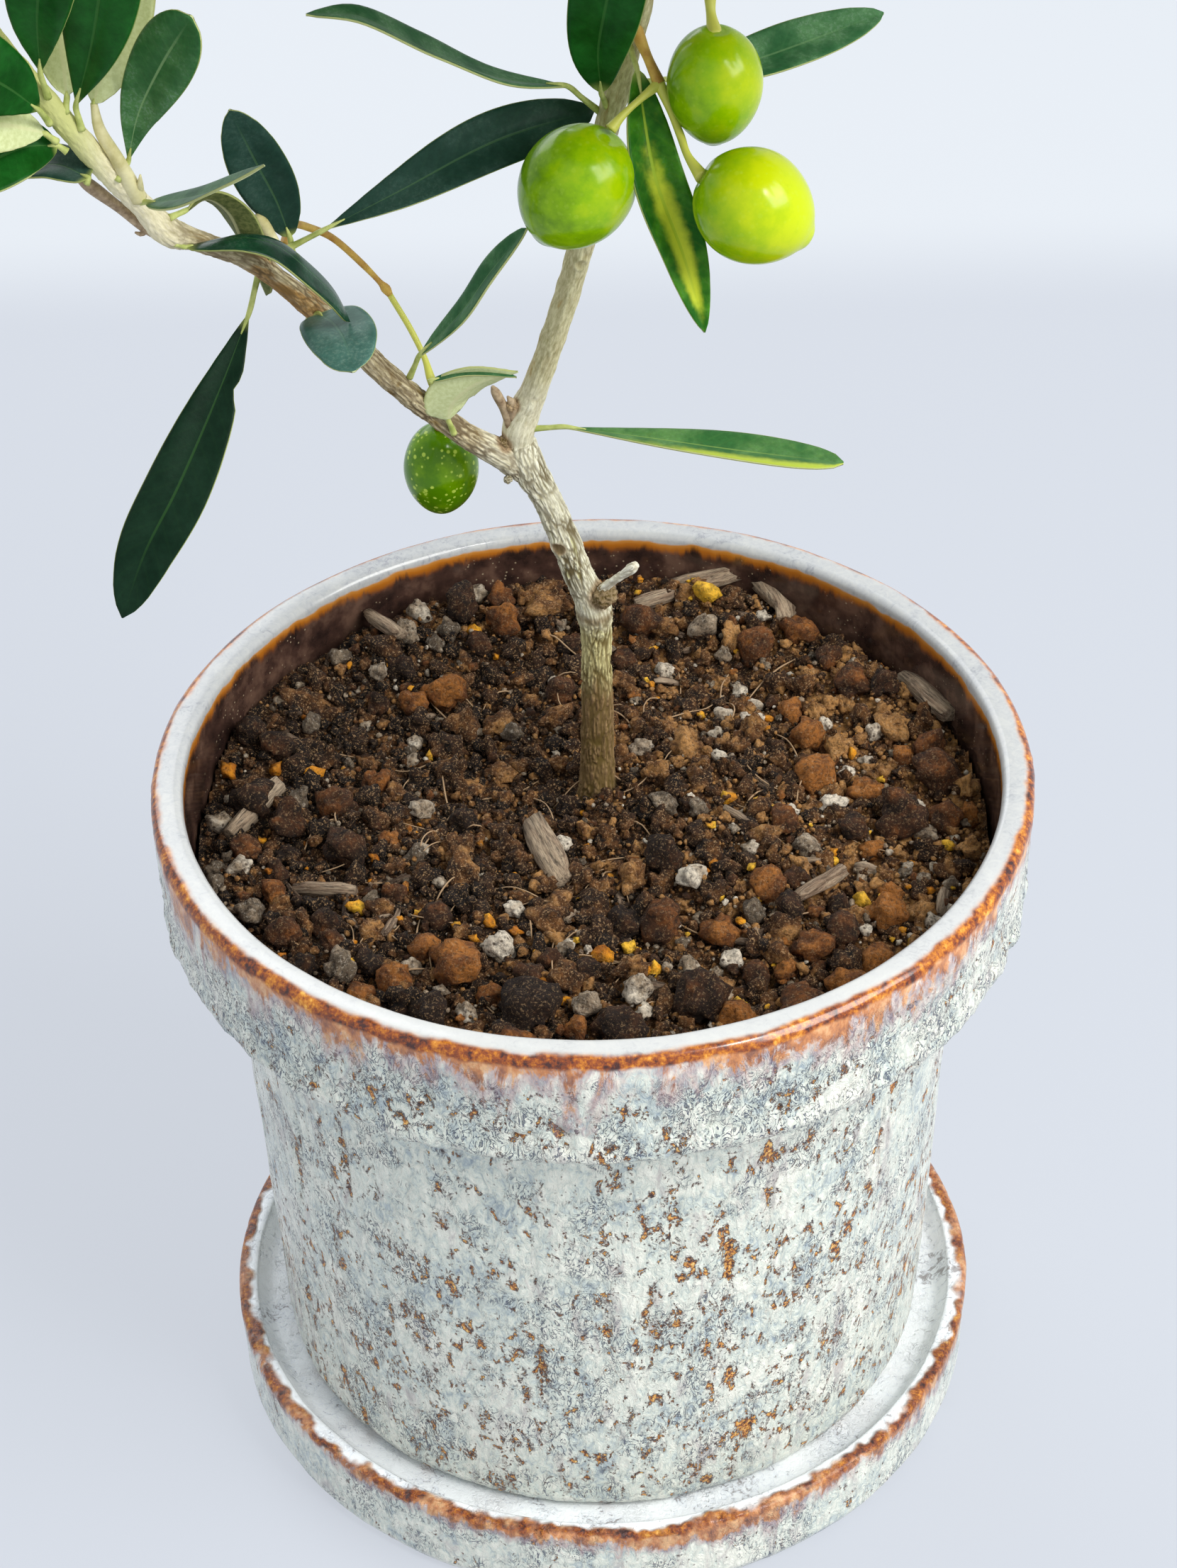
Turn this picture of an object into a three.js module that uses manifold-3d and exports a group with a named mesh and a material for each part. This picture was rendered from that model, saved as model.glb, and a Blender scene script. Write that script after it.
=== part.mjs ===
// A young olive tree in a glazed stoneware pot on its saucer.
//
// Units are millimetres and +Z is up. The origin is the centre of the saucer's flat underside, on the
// axis of the pot. The front is -Y and the right is +X. The thin trunk comes out of the soil a little
// behind the axis, bends at a knot, and forks into a long bough to the left and a leader that carries
// the crown. Every mass of foliage is one closed, uneven solid, cut round the limbs that run into it.
import * as THREE from "three";
import { mergeVertices } from "three/addons/utils/BufferGeometryUtils.js";
import Module from "manifold-3d";

const wasm = await Module();
wasm.setup();

// ---------------------------------------------------------------- driving dimensions
const GAP = 0.3; // air between solids that touch on the real plant

const saucer = { rimRadius: 69, footRadius: 66.5, height: 16.3, floor: 12, rimWidth: 2.6, slope: 3.4 };

const pot = {
  height: 122, // foot to rim
  rimRadius: 75,
  mouthRadius: 69.15,
  collar: 24, // depth of the collar below the rim
  collarFootRadius: 73.8,
  neckRadius: 63.5, // the body just under the collar
  bodyFootRadius: 59.2,
  wall: 5.8,
  floor: 8,
};
const potFoot = saucer.floor + GAP;
const rimHeight = potFoot + pot.height;
const collarFoot = rimHeight - pot.collar;

const soil = {
  level: rimHeight - 15.3,
  mound: { x: 24, y: 6, radius: 26, height: 2.6 },
  hollow: { x: -13, y: 15, radius: 15, height: -2.8 },
  edgeDip: 0.8,
};

const LATHE_STEPS = 42;
const LIMB = { sides: 9, step: 8 }; // one ring of corners for about every 8 mm of limb
const THIN_LIMB = { sides: 6, step: 12 };

// ---------------------------------------------------------------- colours
const finish = (color, roughness) => new THREE.MeshStandardMaterial({ color, roughness, metalness: 0 });
const GLAZE = finish(0xcfd6cf, 0.3);
const SOIL = finish(0x3b2a20, 0.95);
const BARK = finish(0xb9ab8d, 0.8);
const YOUNG_BARK = finish(0x9fa07a, 0.7);
const LEAF = finish(0x2f5a3c, 0.55);

// ---------------------------------------------------------------- solids and meshes
function toSolid(geometry) {
  const bare = geometry.clone();
  bare.deleteAttribute("normal");
  bare.deleteAttribute("uv");
  const merged = mergeVertices(bare, 1e-4);
  return new wasm.Manifold(
    new wasm.Mesh({
      numProp: 3,
      vertProperties: merged.attributes.position.array,
      triVerts: new Uint32Array(merged.index.array),
    }),
  );
}

function toGeometry(solid) {
  const mesh = solid.getMesh();
  const geometry = new THREE.BufferGeometry();
  geometry.setAttribute("position", new THREE.BufferAttribute(mesh.vertProperties, 3));
  geometry.setIndex(new THREE.BufferAttribute(mesh.triVerts, 1));
  geometry.computeVertexNormals();
  return geometry;
}

// Cuts the neighbours away and keeps the largest piece that is left.
function cutRound(solid, neighbours) {
  const left = neighbours.reduce((body, neighbour) => body.subtract(neighbour), solid);
  return left.decompose().reduce((a, b) => (b.volume() > a.volume() ? b : a));
}

const tree = new THREE.Group();
tree.name = "potted_olive_tree";

function add(name, solid, material) {
  const mesh = new THREE.Mesh(toGeometry(solid), material);
  mesh.name = name;
  tree.add(mesh);
}

// A solid of revolution about Z, from a profile of [radius, height] that starts and ends on the axis.
function turned(profile) {
  const points = profile.map(([r, z]) => new THREE.Vector2(r, z));
  return new THREE.LatheGeometry(points, LATHE_STEPS).rotateX(Math.PI / 2);
}

// ---------------------------------------------------------------- saucer and pot
function saucerProfile() {
  const { rimRadius, footRadius, height, floor, rimWidth, slope } = saucer;
  const rimInner = rimRadius - rimWidth;
  return [
    [0, 0],
    [footRadius, 0],
    [rimRadius - 0.6, 1.6],
    [rimRadius, height - 1],
    [rimRadius - 0.8, height],
    [rimInner + 0.4, height],
    [rimInner, height - 0.5],
    [rimInner - slope, floor],
    [0, floor],
  ];
}

function potProfile() {
  const { rimRadius, mouthRadius, collarFootRadius, neckRadius, bodyFootRadius, wall, floor } = pot;
  const shoulder = collarFoot - wall; // the inside steps in below the collar as the outside does
  return [
    [0, potFoot],
    [bodyFootRadius - 2, potFoot],
    [bodyFootRadius, potFoot + 2.6],
    [neckRadius, collarFoot - 3],
    [neckRadius + 2, collarFoot - 0.6],
    [collarFootRadius - 1.4, collarFoot],
    [collarFootRadius, collarFoot + 1.8],
    [rimRadius, rimHeight - 1.4],
    [rimRadius - 1.2, rimHeight],
    [mouthRadius + 1.2, rimHeight],
    [mouthRadius, rimHeight - 1.2],
    [mouthRadius - 0.6, collarFoot + 2],
    [neckRadius - wall, shoulder],
    [bodyFootRadius - wall, potFoot + floor + 4],
    [bodyFootRadius - wall - 4, potFoot + floor],
    [0, potFoot + floor],
  ];
}

// ---------------------------------------------------------------- soil
const bump = ({ x, y, radius, height }, px, py) =>
  height * Math.exp(-((px - x) ** 2 + (py - y) ** 2) / radius ** 2);

function soilHeight(x, y) {
  const waves = 0.5 * Math.sin(x / 7 + 1) * Math.cos(y / 6) + 0.4 * Math.sin((x + y) / 11);
  const edge = soil.edgeDip * (Math.hypot(x, y) / pot.mouthRadius) ** 4;
  return soil.level + waves - edge + bump(soil.mound, x, y) + bump(soil.hollow, x, y);
}

function soilSolid() {
  const { mouthRadius, neckRadius, bodyFootRadius, wall, floor } = pot;
  const rings = 6;
  const topRadius = mouthRadius - 0.6 - GAP;
  const profile = [
    [0, potFoot + floor + GAP],
    [bodyFootRadius - wall - 4 - GAP, potFoot + floor + GAP],
    [bodyFootRadius - wall - GAP, potFoot + floor + 4 + GAP],
    [neckRadius - wall - GAP, collarFoot - wall + GAP],
    [topRadius, collarFoot + 2 + GAP],
  ];
  for (let ring = rings; ring >= 0; ring--) profile.push([(topRadius * ring) / rings, soil.level]);
  const geometry = turned(profile);
  const corners = geometry.attributes.position;
  for (let i = 0; i < corners.count; i++) {
    if (corners.getZ(i) < soil.level - 0.01) continue;
    corners.setZ(i, soilHeight(corners.getX(i), corners.getY(i)));
  }
  return toSolid(geometry);
}

// ---------------------------------------------------------------- limbs
const vector = ([x, y, z]) => new THREE.Vector3(x, y, z);

// The value at place t, from 0 to 1, in a list of evenly spaced values.
function along(values, t) {
  const place = t * (values.length - 1);
  const before = Math.min(Math.floor(place), values.length - 2);
  return THREE.MathUtils.lerp(values[before], values[before + 1], place - before);
}

// A tapering limb: a cylinder bent along a smooth curve through its joints, given as [x, y, z, radius].
// grow makes it thicker and longer all round, to cut its neighbours with.
function limb(joints, grow = 0, { sides, step } = LIMB) {
  const curve = new THREE.CatmullRomCurve3(joints.map(vector), false, "centripetal");
  const radii = joints.map((joint) => joint[3]);
  const rings = Math.max(3, Math.round(curve.getLength() / step));
  const frames = curve.computeFrenetFrames(rings, false);
  const geometry = new THREE.CylinderGeometry(1, 1, 1, sides, rings);
  const corners = geometry.attributes.position;
  for (let i = 0; i < corners.count; i++) {
    const ring = Math.round((corners.getY(i) + 0.5) * rings);
    const radius = along(radii, curve.getUtoTmapping(ring / rings)) + grow;
    const end = ring === 0 ? -grow : ring === rings ? grow : 0;
    const place = curve
      .getPointAt(ring / rings)
      .addScaledVector(frames.tangents[ring], end)
      .addScaledVector(frames.normals[ring], corners.getX(i) * radius)
      .addScaledVector(frames.binormals[ring], -corners.getZ(i) * radius);
    corners.setXYZ(i, place.x, place.y, place.z);
  }
  return toSolid(geometry);
}

// Joints of the limbs as [x, y, z, radius].
const trunkJoints = [
  [1, 13, soil.level, 3.9],
  [1, 13, 123, 3.1],
  [1.1, 13, 134, 2.85],
  [1.2, 13, 146, 2.5],
  [1.3, 13, 156, 2.95], // the knot where the old top was cut away
  [-1.6, 12.2, 164.5, 2.45],
  [-4.2, 11.5, 173.5, 2.5],
  [-6.8, 11, 181, 2.3],
  [-10.6, 10.4, 190, 2.9],
];
const cutStubJoints = [
  [2.4, 11.4, 160, 1.1],
  [5, 7.6, 166.5, 0.85],
  [8.6, 4.5, 172, 0.75],
];
const leaderJoints = [
  [-10.6, 10.4, 190, 2.7],
  [-7.7, 9, 202.4, 2.2],
  [-3.7, 7, 216.6, 2.05],
  [-0.1, 5, 230.2, 2.05],
  [4.4, 1, 253.7, 1.9],
  [9.5, -2, 274.7, 1.7],
  [12, -3, 300, 1.45],
  [9, -1, 330, 1.2],
  [6, 1, 360, 0.95],
];
const leftBoughJoints = [
  [-11, 10.2, 188, 2.2],
  [-19.8, 6, 196.7, 2],
  [-30.1, -2, 211.9, 1.95],
  [-39.7, -10, 228.7, 1.8],
  [-48.8, -18, 242.6, 1.7],
  [-59.3, -26, 252.1, 1.7],
  [-66, -32, 265.1, 1.5],
  [-73.1, -40, 281.9, 1.3],
  [-83, -47, 304, 1.1],
  [-90, -51, 322, 0.9],
];

// ---------------------------------------------------------------- masses of foliage
// A bent, uneven egg along an axis. width and depth are its half sizes across the axis.
function mass({ axis, width, depth, seed, detail = 2, uneven = 0.22 }, grow = 0) {
  const curve = new THREE.CatmullRomCurve3(axis.map(vector), false, "centripetal");
  const steps = 24;
  const frames = curve.computeFrenetFrames(steps, false);
  const geometry = new THREE.IcosahedronGeometry(1, detail);
  const corners = geometry.attributes.position;
  for (let i = 0; i < corners.count; i++) {
    const [x, y, z] = [corners.getX(i), corners.getY(i), corners.getZ(i)];
    const ripple = Math.sin(4.1 * x + seed) + Math.sin(4.7 * y + 2.3 * seed) + Math.sin(5.3 * z + 3.1 * seed);
    const lump = 1 + (uneven * ripple) / 2;
    const u = THREE.MathUtils.clamp((1 + z) / 2, 0, 1);
    const step = Math.round(u * steps);
    const place = curve
      .getPointAt(u)
      .addScaledVector(frames.tangents[step], z * grow)
      .addScaledVector(frames.normals[step], x * (width * lump + grow))
      .addScaledVector(frames.binormals[step], y * (depth * lump + grow));
    corners.setXYZ(i, place.x, place.y, place.z);
  }
  return toSolid(geometry);
}

const leafy = (axis, width, depth, seed) => ({ axis, width, depth, seed });
const singleLeaf = (axis, width, depth, seed) => ({ axis, width, depth, seed, detail: 1 });

// Low sprays and single long leaves that hang or stand clear of the rest, from stalk to tip.
const lowMasses = {
  foliage_hanging: singleLeaf([[-48, -18, 234], [-59, -29, 218], [-69, -42, 195]], 6.5, 4, 1),
  foliage_left_inner: leafy([[-38, -9, 234], [-50, -16, 252], [-58, -22, 268]], 13, 11, 2),
  foliage_reaching: singleLeaf([[-33, -9, 249], [-18, -5, 255], [3, 3, 256]], 5.5, 3.5, 3),
  foliage_bough_back: singleLeaf([[-25, -4, 217], [-17, -8, 231], [-8, -10, 242]], 4, 3, 4),
  foliage_bough_foot: singleLeaf([[-22, 1, 203], [-18, -7, 212], [-11, -13, 219]], 5.5, 4, 5),
  foliage_bough_front: singleLeaf([[-37, -15, 228], [-36, -25, 229], [-35, -36, 234]], 5.5, 3.5, 6),
  foliage_fork_right: singleLeaf([[-4, 8, 196], [19, 4, 196], [41, 0, 193]], 3, 2.5, 7),
  foliage_leader_left: singleLeaf([[-1, 1, 260], [-16, -6, 268], [-38, -18, 281]], 4.5, 3.5, 8),
  foliage_leader_front: singleLeaf([[5, -4, 262], [6, -14, 276], [7, -26, 292]], 6, 4, 9),
  foliage_leader_down: singleLeaf([[12, -7, 264], [14, -15, 247], [18, -22, 229]], 4.5, 3.5, 10),
  foliage_leader_right: singleLeaf([[14, 7, 259], [30, 15, 259], [47, 24, 260]], 4.5, 3, 11),
  foliage_left_outer: leafy([[-60, -33, 262], [-70, -42, 281], [-80, -48, 304]], 17, 15, 12),
  foliage_left_side: leafy([[-80, -36, 284], [-98, -34, 293], [-120, -30, 306]], 14, 12, 13),
  foliage_left_tip: leafy([[-85, -48, 309], [-96, -53, 338], [-98, -50, 382]], 19, 18, 14),
};

// Boughs of the crown. Each leaves the leader at a height and turns out to a bearing, in degrees from
// +X towards +Y, to end reach away and rise higher, inside the mass of leaves that it carries.
const crownBoughs = {
  right: { height: 290, bearing: 2, reach: 56, rise: 48, spread: 20, ahead: 46, seed: 21 },
  back: { height: 283, bearing: 84, reach: 50, rise: 50, spread: 20, ahead: 44, seed: 22 },
  back_left: { height: 302, bearing: 146, reach: 52, rise: 36, spread: 20, ahead: 42, seed: 23 },
  front: { height: 318, bearing: 278, reach: 42, rise: 36, spread: 19, ahead: 38, seed: 24 },
  left: { height: 326, bearing: 204, reach: 46, rise: 42, spread: 20, ahead: 40, seed: 25 },
  front_right: { height: 304, bearing: 322, reach: 52, rise: 30, spread: 19, ahead: 40, seed: 26 },
  back_right: { height: 316, bearing: 44, reach: 50, rise: 40, spread: 20, ahead: 40, seed: 27 },
};

// Places on the way out along a crown bough, as shares of its reach and of its rise.
const BOUGH_BEND = [0.55, 0.32];
const MASS_START = [0.62, 0.42];
const MASS_LEAN = { outward: 0.35, upward: 0.85 }; // how the mass goes on beyond the bough's end
const BOUGH_RADII = [1.2, 1.05, 0.9];

// The leader's centre at a height above the origin.
function leaderAt(height) {
  const above = leaderJoints.findIndex((joint) => joint[2] > height);
  const [low, high] = [leaderJoints[above - 1], leaderJoints[above]];
  return vector(low).lerp(vector(high), (height - low[2]) / (high[2] - low[2]));
}

function crownBough({ height, bearing, reach, rise, spread, ahead, seed }) {
  const turn = THREE.MathUtils.degToRad(bearing);
  const out = new THREE.Vector3(Math.cos(turn), Math.sin(turn), 0);
  const foot = leaderAt(height);
  const point = (outward, upward) =>
    foot.clone().addScaledVector(out, outward).setZ(height + upward).toArray();
  const share = ([outward, upward]) => point(reach * outward, rise * upward);
  const places = [[0, 0], BOUGH_BEND, [1, 1]];
  const tip = point(reach + ahead * MASS_LEAN.outward, rise + ahead * MASS_LEAN.upward);
  return {
    joints: places.map((place, i) => [...share(place), BOUGH_RADII[i]]),
    shape: leafy([share(MASS_START), share([1, 1]), tip], spread, spread, seed),
  };
}

// ---------------------------------------------------------------- assembly
const trunk = limb(trunkJoints);
const trunkSpace = limb(trunkJoints, GAP);
const leaderSpace = limb(leaderJoints, GAP);
const leftBoughSpace = limb(leftBoughJoints, GAP);

add("saucer", toSolid(turned(saucerProfile())), GLAZE);
add("pot", toSolid(turned(potProfile())), GLAZE);
add("soil", cutRound(soilSolid(), [trunkSpace]), SOIL);
add("trunk", trunk, BARK);
add("cut_stub", cutRound(limb(cutStubJoints), [trunkSpace]), BARK);
add("leader", cutRound(limb(leaderJoints), [trunkSpace]), YOUNG_BARK);
add("left_bough", cutRound(limb(leftBoughJoints), [trunkSpace, leaderSpace]), BARK);

const taken = [trunkSpace, leaderSpace, leftBoughSpace];
const crownMasses = {
  crown_middle: leafy([[12, -3, 292], [11, -2, 318], [8, 0, 344]], 22, 22, 31),
  crown_top: leafy([[6, 0, 346], [5, 1, 388], [3, 2, 434]], 25, 24, 32),
};
for (const [side, bough] of Object.entries(crownBoughs)) {
  const { joints, shape } = crownBough(bough);
  add(`bough_${side}`, cutRound(limb(joints, 0, THIN_LIMB), taken), YOUNG_BARK);
  taken.push(limb(joints, GAP, THIN_LIMB));
  crownMasses[`crown_${side}`] = shape;
}

for (const [name, shape] of Object.entries({ ...lowMasses, ...crownMasses })) {
  add(name, cutRound(mass(shape), taken), LEAF);
  taken.push(mass(shape, GAP));
}

export default tree;
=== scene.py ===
# %% [markdown]
# # A young olive tree in a glazed stoneware pot
#
# This notebook dresses a plain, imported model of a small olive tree. The plain model, the frame, holds
# every size: the turned pot and saucer, the soil, the bent and forked stem, and lumps where the leaves
# are. Each step below makes the real look of one of them, in place, and hides the plain solid behind it.
#
# We start by loading the frame and noting its box, because nothing we add may reach far outside it.

# %% Load the frame
import math
import random

import bmesh
import bpy
import numpy as np
from mathutils import Matrix, Vector, noise


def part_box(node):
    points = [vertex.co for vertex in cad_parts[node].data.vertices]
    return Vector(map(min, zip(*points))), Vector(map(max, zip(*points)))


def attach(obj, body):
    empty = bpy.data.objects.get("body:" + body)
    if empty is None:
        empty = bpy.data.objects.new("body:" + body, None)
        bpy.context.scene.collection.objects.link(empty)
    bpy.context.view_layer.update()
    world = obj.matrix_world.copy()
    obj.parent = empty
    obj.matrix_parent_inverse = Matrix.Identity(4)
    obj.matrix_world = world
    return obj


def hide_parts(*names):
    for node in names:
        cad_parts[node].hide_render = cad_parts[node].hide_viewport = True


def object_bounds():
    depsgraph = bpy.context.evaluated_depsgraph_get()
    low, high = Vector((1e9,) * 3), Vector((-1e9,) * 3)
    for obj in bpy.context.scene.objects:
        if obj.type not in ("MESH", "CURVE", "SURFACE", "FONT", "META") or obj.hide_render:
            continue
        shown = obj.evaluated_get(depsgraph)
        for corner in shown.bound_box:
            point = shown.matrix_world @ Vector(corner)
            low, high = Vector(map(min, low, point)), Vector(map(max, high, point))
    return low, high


MM = 0.001
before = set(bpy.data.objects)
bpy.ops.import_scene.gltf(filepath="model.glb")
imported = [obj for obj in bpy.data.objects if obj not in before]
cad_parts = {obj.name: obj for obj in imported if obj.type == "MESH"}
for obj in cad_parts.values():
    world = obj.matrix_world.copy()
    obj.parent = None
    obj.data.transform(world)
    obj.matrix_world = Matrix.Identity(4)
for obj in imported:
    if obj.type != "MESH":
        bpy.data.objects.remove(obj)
cad_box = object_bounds()


def rounded(box):
    return [[round(value, 4) for value in corner] for corner in box]


print("CAD box", rounded(cad_box))

# %% [markdown]
# ## Camera, floor and light
#
# The camera looks down on the pot at a little under forty degrees, through a long lens, so the rim is an
# open ellipse and the sides stay nearly parallel. It is tipped about one degree. We keep its place and
# axes as plain vectors, since the crown has to know later what the camera can see.

# %% Camera
IMAGE = (1660, 2212)
CAMERA_TARGET = Vector((-0.66, 0, 129.4)) * MM
CAMERA_DISTANCE = 603.2 * MM
CAMERA_DOWN = math.radians(38.09)
CAMERA_ROLL = math.radians(-1.24)
SENSOR = 36.0
LENS = 81.4

camera = bpy.data.objects.new("camera", bpy.data.cameras.new("camera"))
bpy.context.scene.collection.objects.link(camera)
camera.data.lens = LENS
camera.data.sensor_width = SENSOR
camera.data.clip_start = 0.01
camera_turn = Matrix.Rotation(math.pi / 2 - CAMERA_DOWN, 3, "X") @ Matrix.Rotation(CAMERA_ROLL, 3, "Z")
camera_right, camera_up, camera_back = (camera_turn.col[i].copy() for i in range(3))
camera_place = CAMERA_TARGET + camera_back * CAMERA_DISTANCE
camera.matrix_world = Matrix.Translation(camera_place) @ camera_turn.to_4x4()
bpy.context.scene.camera = camera


def picture_place(point):
    """Where a point falls in the image, from 0 to 1 across and down when it is inside."""
    away = Vector(point) - camera_place
    depth = -away.dot(camera_back)
    zoom = LENS / SENSOR * IMAGE[1] / depth
    across = 0.5 + away.dot(camera_right) * zoom / IMAGE[0]
    down = 0.5 - away.dot(camera_up) * zoom / IMAGE[1]
    return across, down


print("rim centre falls at", [round(value, 3) for value in picture_place((0, 0, 0.1343))])

# %% [markdown]
# Every material is a small tree of nodes. These helpers add one node each and give its output, wrapped so
# that plus, minus and times between outputs add Math nodes by themselves. A finish then reads like a
# sentence: some noise, a ramp of colours, a mix.

# %% Node helpers
class Socket:
    """What a node gives out. Sums, differences and products of it are Math nodes in the same tree."""

    def __init__(self, tree, output):
        self.tree, self.output = tree, output

    def __add__(self, other):
        return calc("ADD", self, other)

    def __sub__(self, other):
        return calc("SUBTRACT", self, other)

    def __rsub__(self, other):
        return calc("SUBTRACT", other, self)

    def __mul__(self, other):
        return calc("MULTIPLY", self, other)

    def __truediv__(self, other):
        return calc("DIVIDE", self, other)

    def __abs__(self):
        return calc("ABSOLUTE", self)


def node(tree, kind, settings=None, places=None, output=0, **inputs):
    """Add a node, fill its inputs by place in the list or by name, and give one of its outputs."""
    made = tree.nodes.new("ShaderNode" + kind)
    for name, value in (settings or {}).items():
        setattr(made, name, value)
    filled = dict(places or {})
    filled.update((name.replace("_", " "), value) for name, value in inputs.items())
    for key, value in filled.items():
        if isinstance(value, Socket):
            tree.links.new(value.output, made.inputs[key])
        else:
            made.inputs[key].default_value = value
    return Socket(tree, made.outputs[output])


def calc(operation, *values):
    tree = next(value.tree for value in values if isinstance(value, Socket))
    return node(tree, "Math", {"operation": operation}, dict(enumerate(values)))


def stretched(place, stretch):
    return node(place.tree, "Mapping", Vector=place, Scale=stretch)


def object_place(tree, stretch=(1, 1, 1)):
    return stretched(node(tree, "TexCoord", output="Object"), stretch)


def attribute(tree, name, kind="Fac"):
    return node(tree, "Attribute", {"attribute_name": name}, output=kind)


def part_of(place, axis):
    return node(place.tree, "SeparateXYZ", Vector=place, output=axis)


def cloud(place, scale, detail, roughness=0.6, distortion=0.0):
    return node(place.tree, "TexNoise", output="Fac", Vector=place, Scale=scale, Detail=detail,
                Roughness=roughness, Distortion=distortion)


def cells(place, scale):
    return node(place.tree, "TexVoronoi", output="Distance", Vector=place, Scale=scale)


def rise(value, low, high):
    """0 below low and 1 above high, with a smooth step between, or falling if high is the lower."""
    first, last = (1.0, 0.0) if high < low else (0.0, 1.0)
    return node(value.tree, "MapRange", {"interpolation_type": "SMOOTHSTEP"}, Value=value,
                From_Min=min(low, high), From_Max=max(low, high), To_Min=first, To_Max=last)


def between(value, start, end, soft):
    """1 where value lies between start and end."""
    return rise(value, start - soft, start + soft) * rise(value, end + soft, end - soft)


def ramp(value, *stops):
    """A colour for each value, through stops of (value, colour)."""
    made = node(value.tree, "ValToRGB", places={0: value}, output="Color")
    elements = made.output.node.color_ramp.elements
    while len(elements) < len(stops):
        elements.new(0.5)
    for element, (position, color) in zip(elements, stops):
        element.position = position
        element.color = (*color, 1)
    return made


def blend(share, below, above, mode="MIX"):
    """The colour above laid over the colour below by a share."""
    tree = next(value.tree for value in (share, below, above) if isinstance(value, Socket))
    below, above = (value if isinstance(value, Socket) else (*value, 1) for value in (below, above))
    return node(tree, "Mix", {"data_type": "RGBA", "blend_type": mode}, {0: share, 6: below, 7: above}, 2)


def material(name, roughness, **shader_values):
    made = bpy.data.materials.new(name)
    made.use_nodes = True
    shader = made.node_tree.nodes["Principled BSDF"]
    shader.inputs["Roughness"].default_value = roughness
    for socket, value in shader_values.items():
        shader.inputs[socket.replace("_", " ")].default_value = value
    return made, made.node_tree, shader


def wire(shader, **inputs):
    for name, value in inputs.items():
        value.tree.links.new(value.output, shader.inputs[name.replace("_", " ")])


def bump(shader, height, strength, distance):
    wire(shader, Normal=node(height.tree, "Bump", Height=height, Strength=strength, Distance=distance))


print("node helpers ready")

# %% [markdown]
# The floor is a plain pale sheet, a touch bluish, and lighter beyond the near half, like paper that runs
# on towards a window. It glows a little by itself, as a lit table does, so that shadows on it stay faint.
# The light is soft: a bright room all round, a window-like lamp at the right with a small bright one in
# front of it for the glints, and a weak one behind.

# %% Floor and lights
FLOOR_SIZE = 60.0
FAR_EDGE = 0.40
FAR_SOFT = 0.03
NEAR_GLOW = (0.50, 0.525, 0.575)
FAR_GLOW = (0.62, 0.65, 0.685)


def make_floor():
    bm = bmesh.new()
    bmesh.ops.create_grid(bm, x_segments=1, y_segments=1, size=FLOOR_SIZE / 2)
    mesh = bpy.data.meshes.new("floor")
    bm.to_mesh(mesh)
    bm.free()
    floor = bpy.data.objects.new("floor", mesh)
    bpy.context.scene.collection.objects.link(floor)
    paper, tree, shader = material("pale_floor", 0.8, Specular_IOR_Level=0.1, Emission_Strength=1.0)
    far = rise(part_of(object_place(tree), "Y"), FAR_EDGE - FAR_SOFT, FAR_EDGE + FAR_SOFT)
    wire(shader, Emission_Color=blend(far, NEAR_GLOW, FAR_GLOW))
    shader.inputs["Base Color"].default_value = (0.14, 0.15, 0.165, 1)
    floor.data.materials.append(paper)
    return floor


def area_light(name, place, target, size, power, color):
    lamp = bpy.data.objects.new(name, bpy.data.lights.new(name, "AREA"))
    lamp.data.size = size
    lamp.data.energy = power
    lamp.data.color = color
    lamp.location = place
    lamp.rotation_euler = (Vector(target) - Vector(place)).to_track_quat("-Z", "Y").to_euler()
    bpy.context.scene.collection.objects.link(lamp)


make_floor()
area_light("window_light", (0.72, -0.42, 0.85), (0, 0, 0.12), 0.7, 13.0, (1.0, 0.985, 0.95))
area_light("glint_light", (0.42, -0.50, 0.92), (0, 0, 0.15), 0.10, 1.1, (1.0, 1.0, 0.98))
area_light("back_light", (-0.5, 0.9, 0.8), (0, 0, 0.15), 0.8, 4.5, (0.95, 0.97, 1.0))
world = bpy.data.worlds.new("room")
world.use_nodes = True
room = world.node_tree.nodes["Background"].inputs
room["Color"].default_value = (0.91, 0.95, 1.0, 1)
room["Strength"].default_value = 0.80
bpy.context.scene.world = world
bpy.context.scene.view_settings.view_transform = "Standard"
print("stage ready: floor", FLOOR_SIZE, "m across, three lamps and a bright room")

# %% [markdown]
# ## Making pieces
#
# Every piece goes through one function, which links it at the origin, gives it its materials, ties it to
# the model's one body and hides the plain solids it stands for.

# %% Piece helpers
def piece(name, mesh, materials, replaces=()):
    made = bpy.data.objects.new(name, mesh)
    bpy.context.scene.collection.objects.link(made)
    for finish in materials:
        mesh.materials.append(finish)
    mesh.shade_smooth()
    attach(made, "root")
    if replaces:
        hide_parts(*replaces)
    triangles = sum(len(face.vertices) - 2 for face in mesh.polygons)
    print(f"{name}: {triangles} triangles")
    return made


def finish_mesh(name, bm, outward=True):
    """The bmesh as a mesh, with its faces turned outwards unless they already are."""
    if outward:
        bmesh.ops.recalc_face_normals(bm, faces=bm.faces)
    mesh = bpy.data.meshes.new(name)
    bm.to_mesh(mesh)
    bm.free()
    return mesh


def joined(name, parts):
    """One mesh from many (corners, faces, slots) parts, each a pair of arrays and a list of slots."""
    corners = np.concatenate([part[0] for part in parts])
    starts = np.cumsum([0] + [len(part[0]) for part in parts[:-1]])
    mesh = bpy.data.meshes.new(name)
    faces = [[corner + start for corner in face] for part, start in zip(parts, starts) for face in part[1]]
    mesh.from_pydata(corners.tolist(), [], faces)
    slots = np.concatenate([np.asarray(part[2], dtype=np.int32) for part in parts])
    mesh.polygons.foreach_set("material_index", slots)
    return mesh


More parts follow.
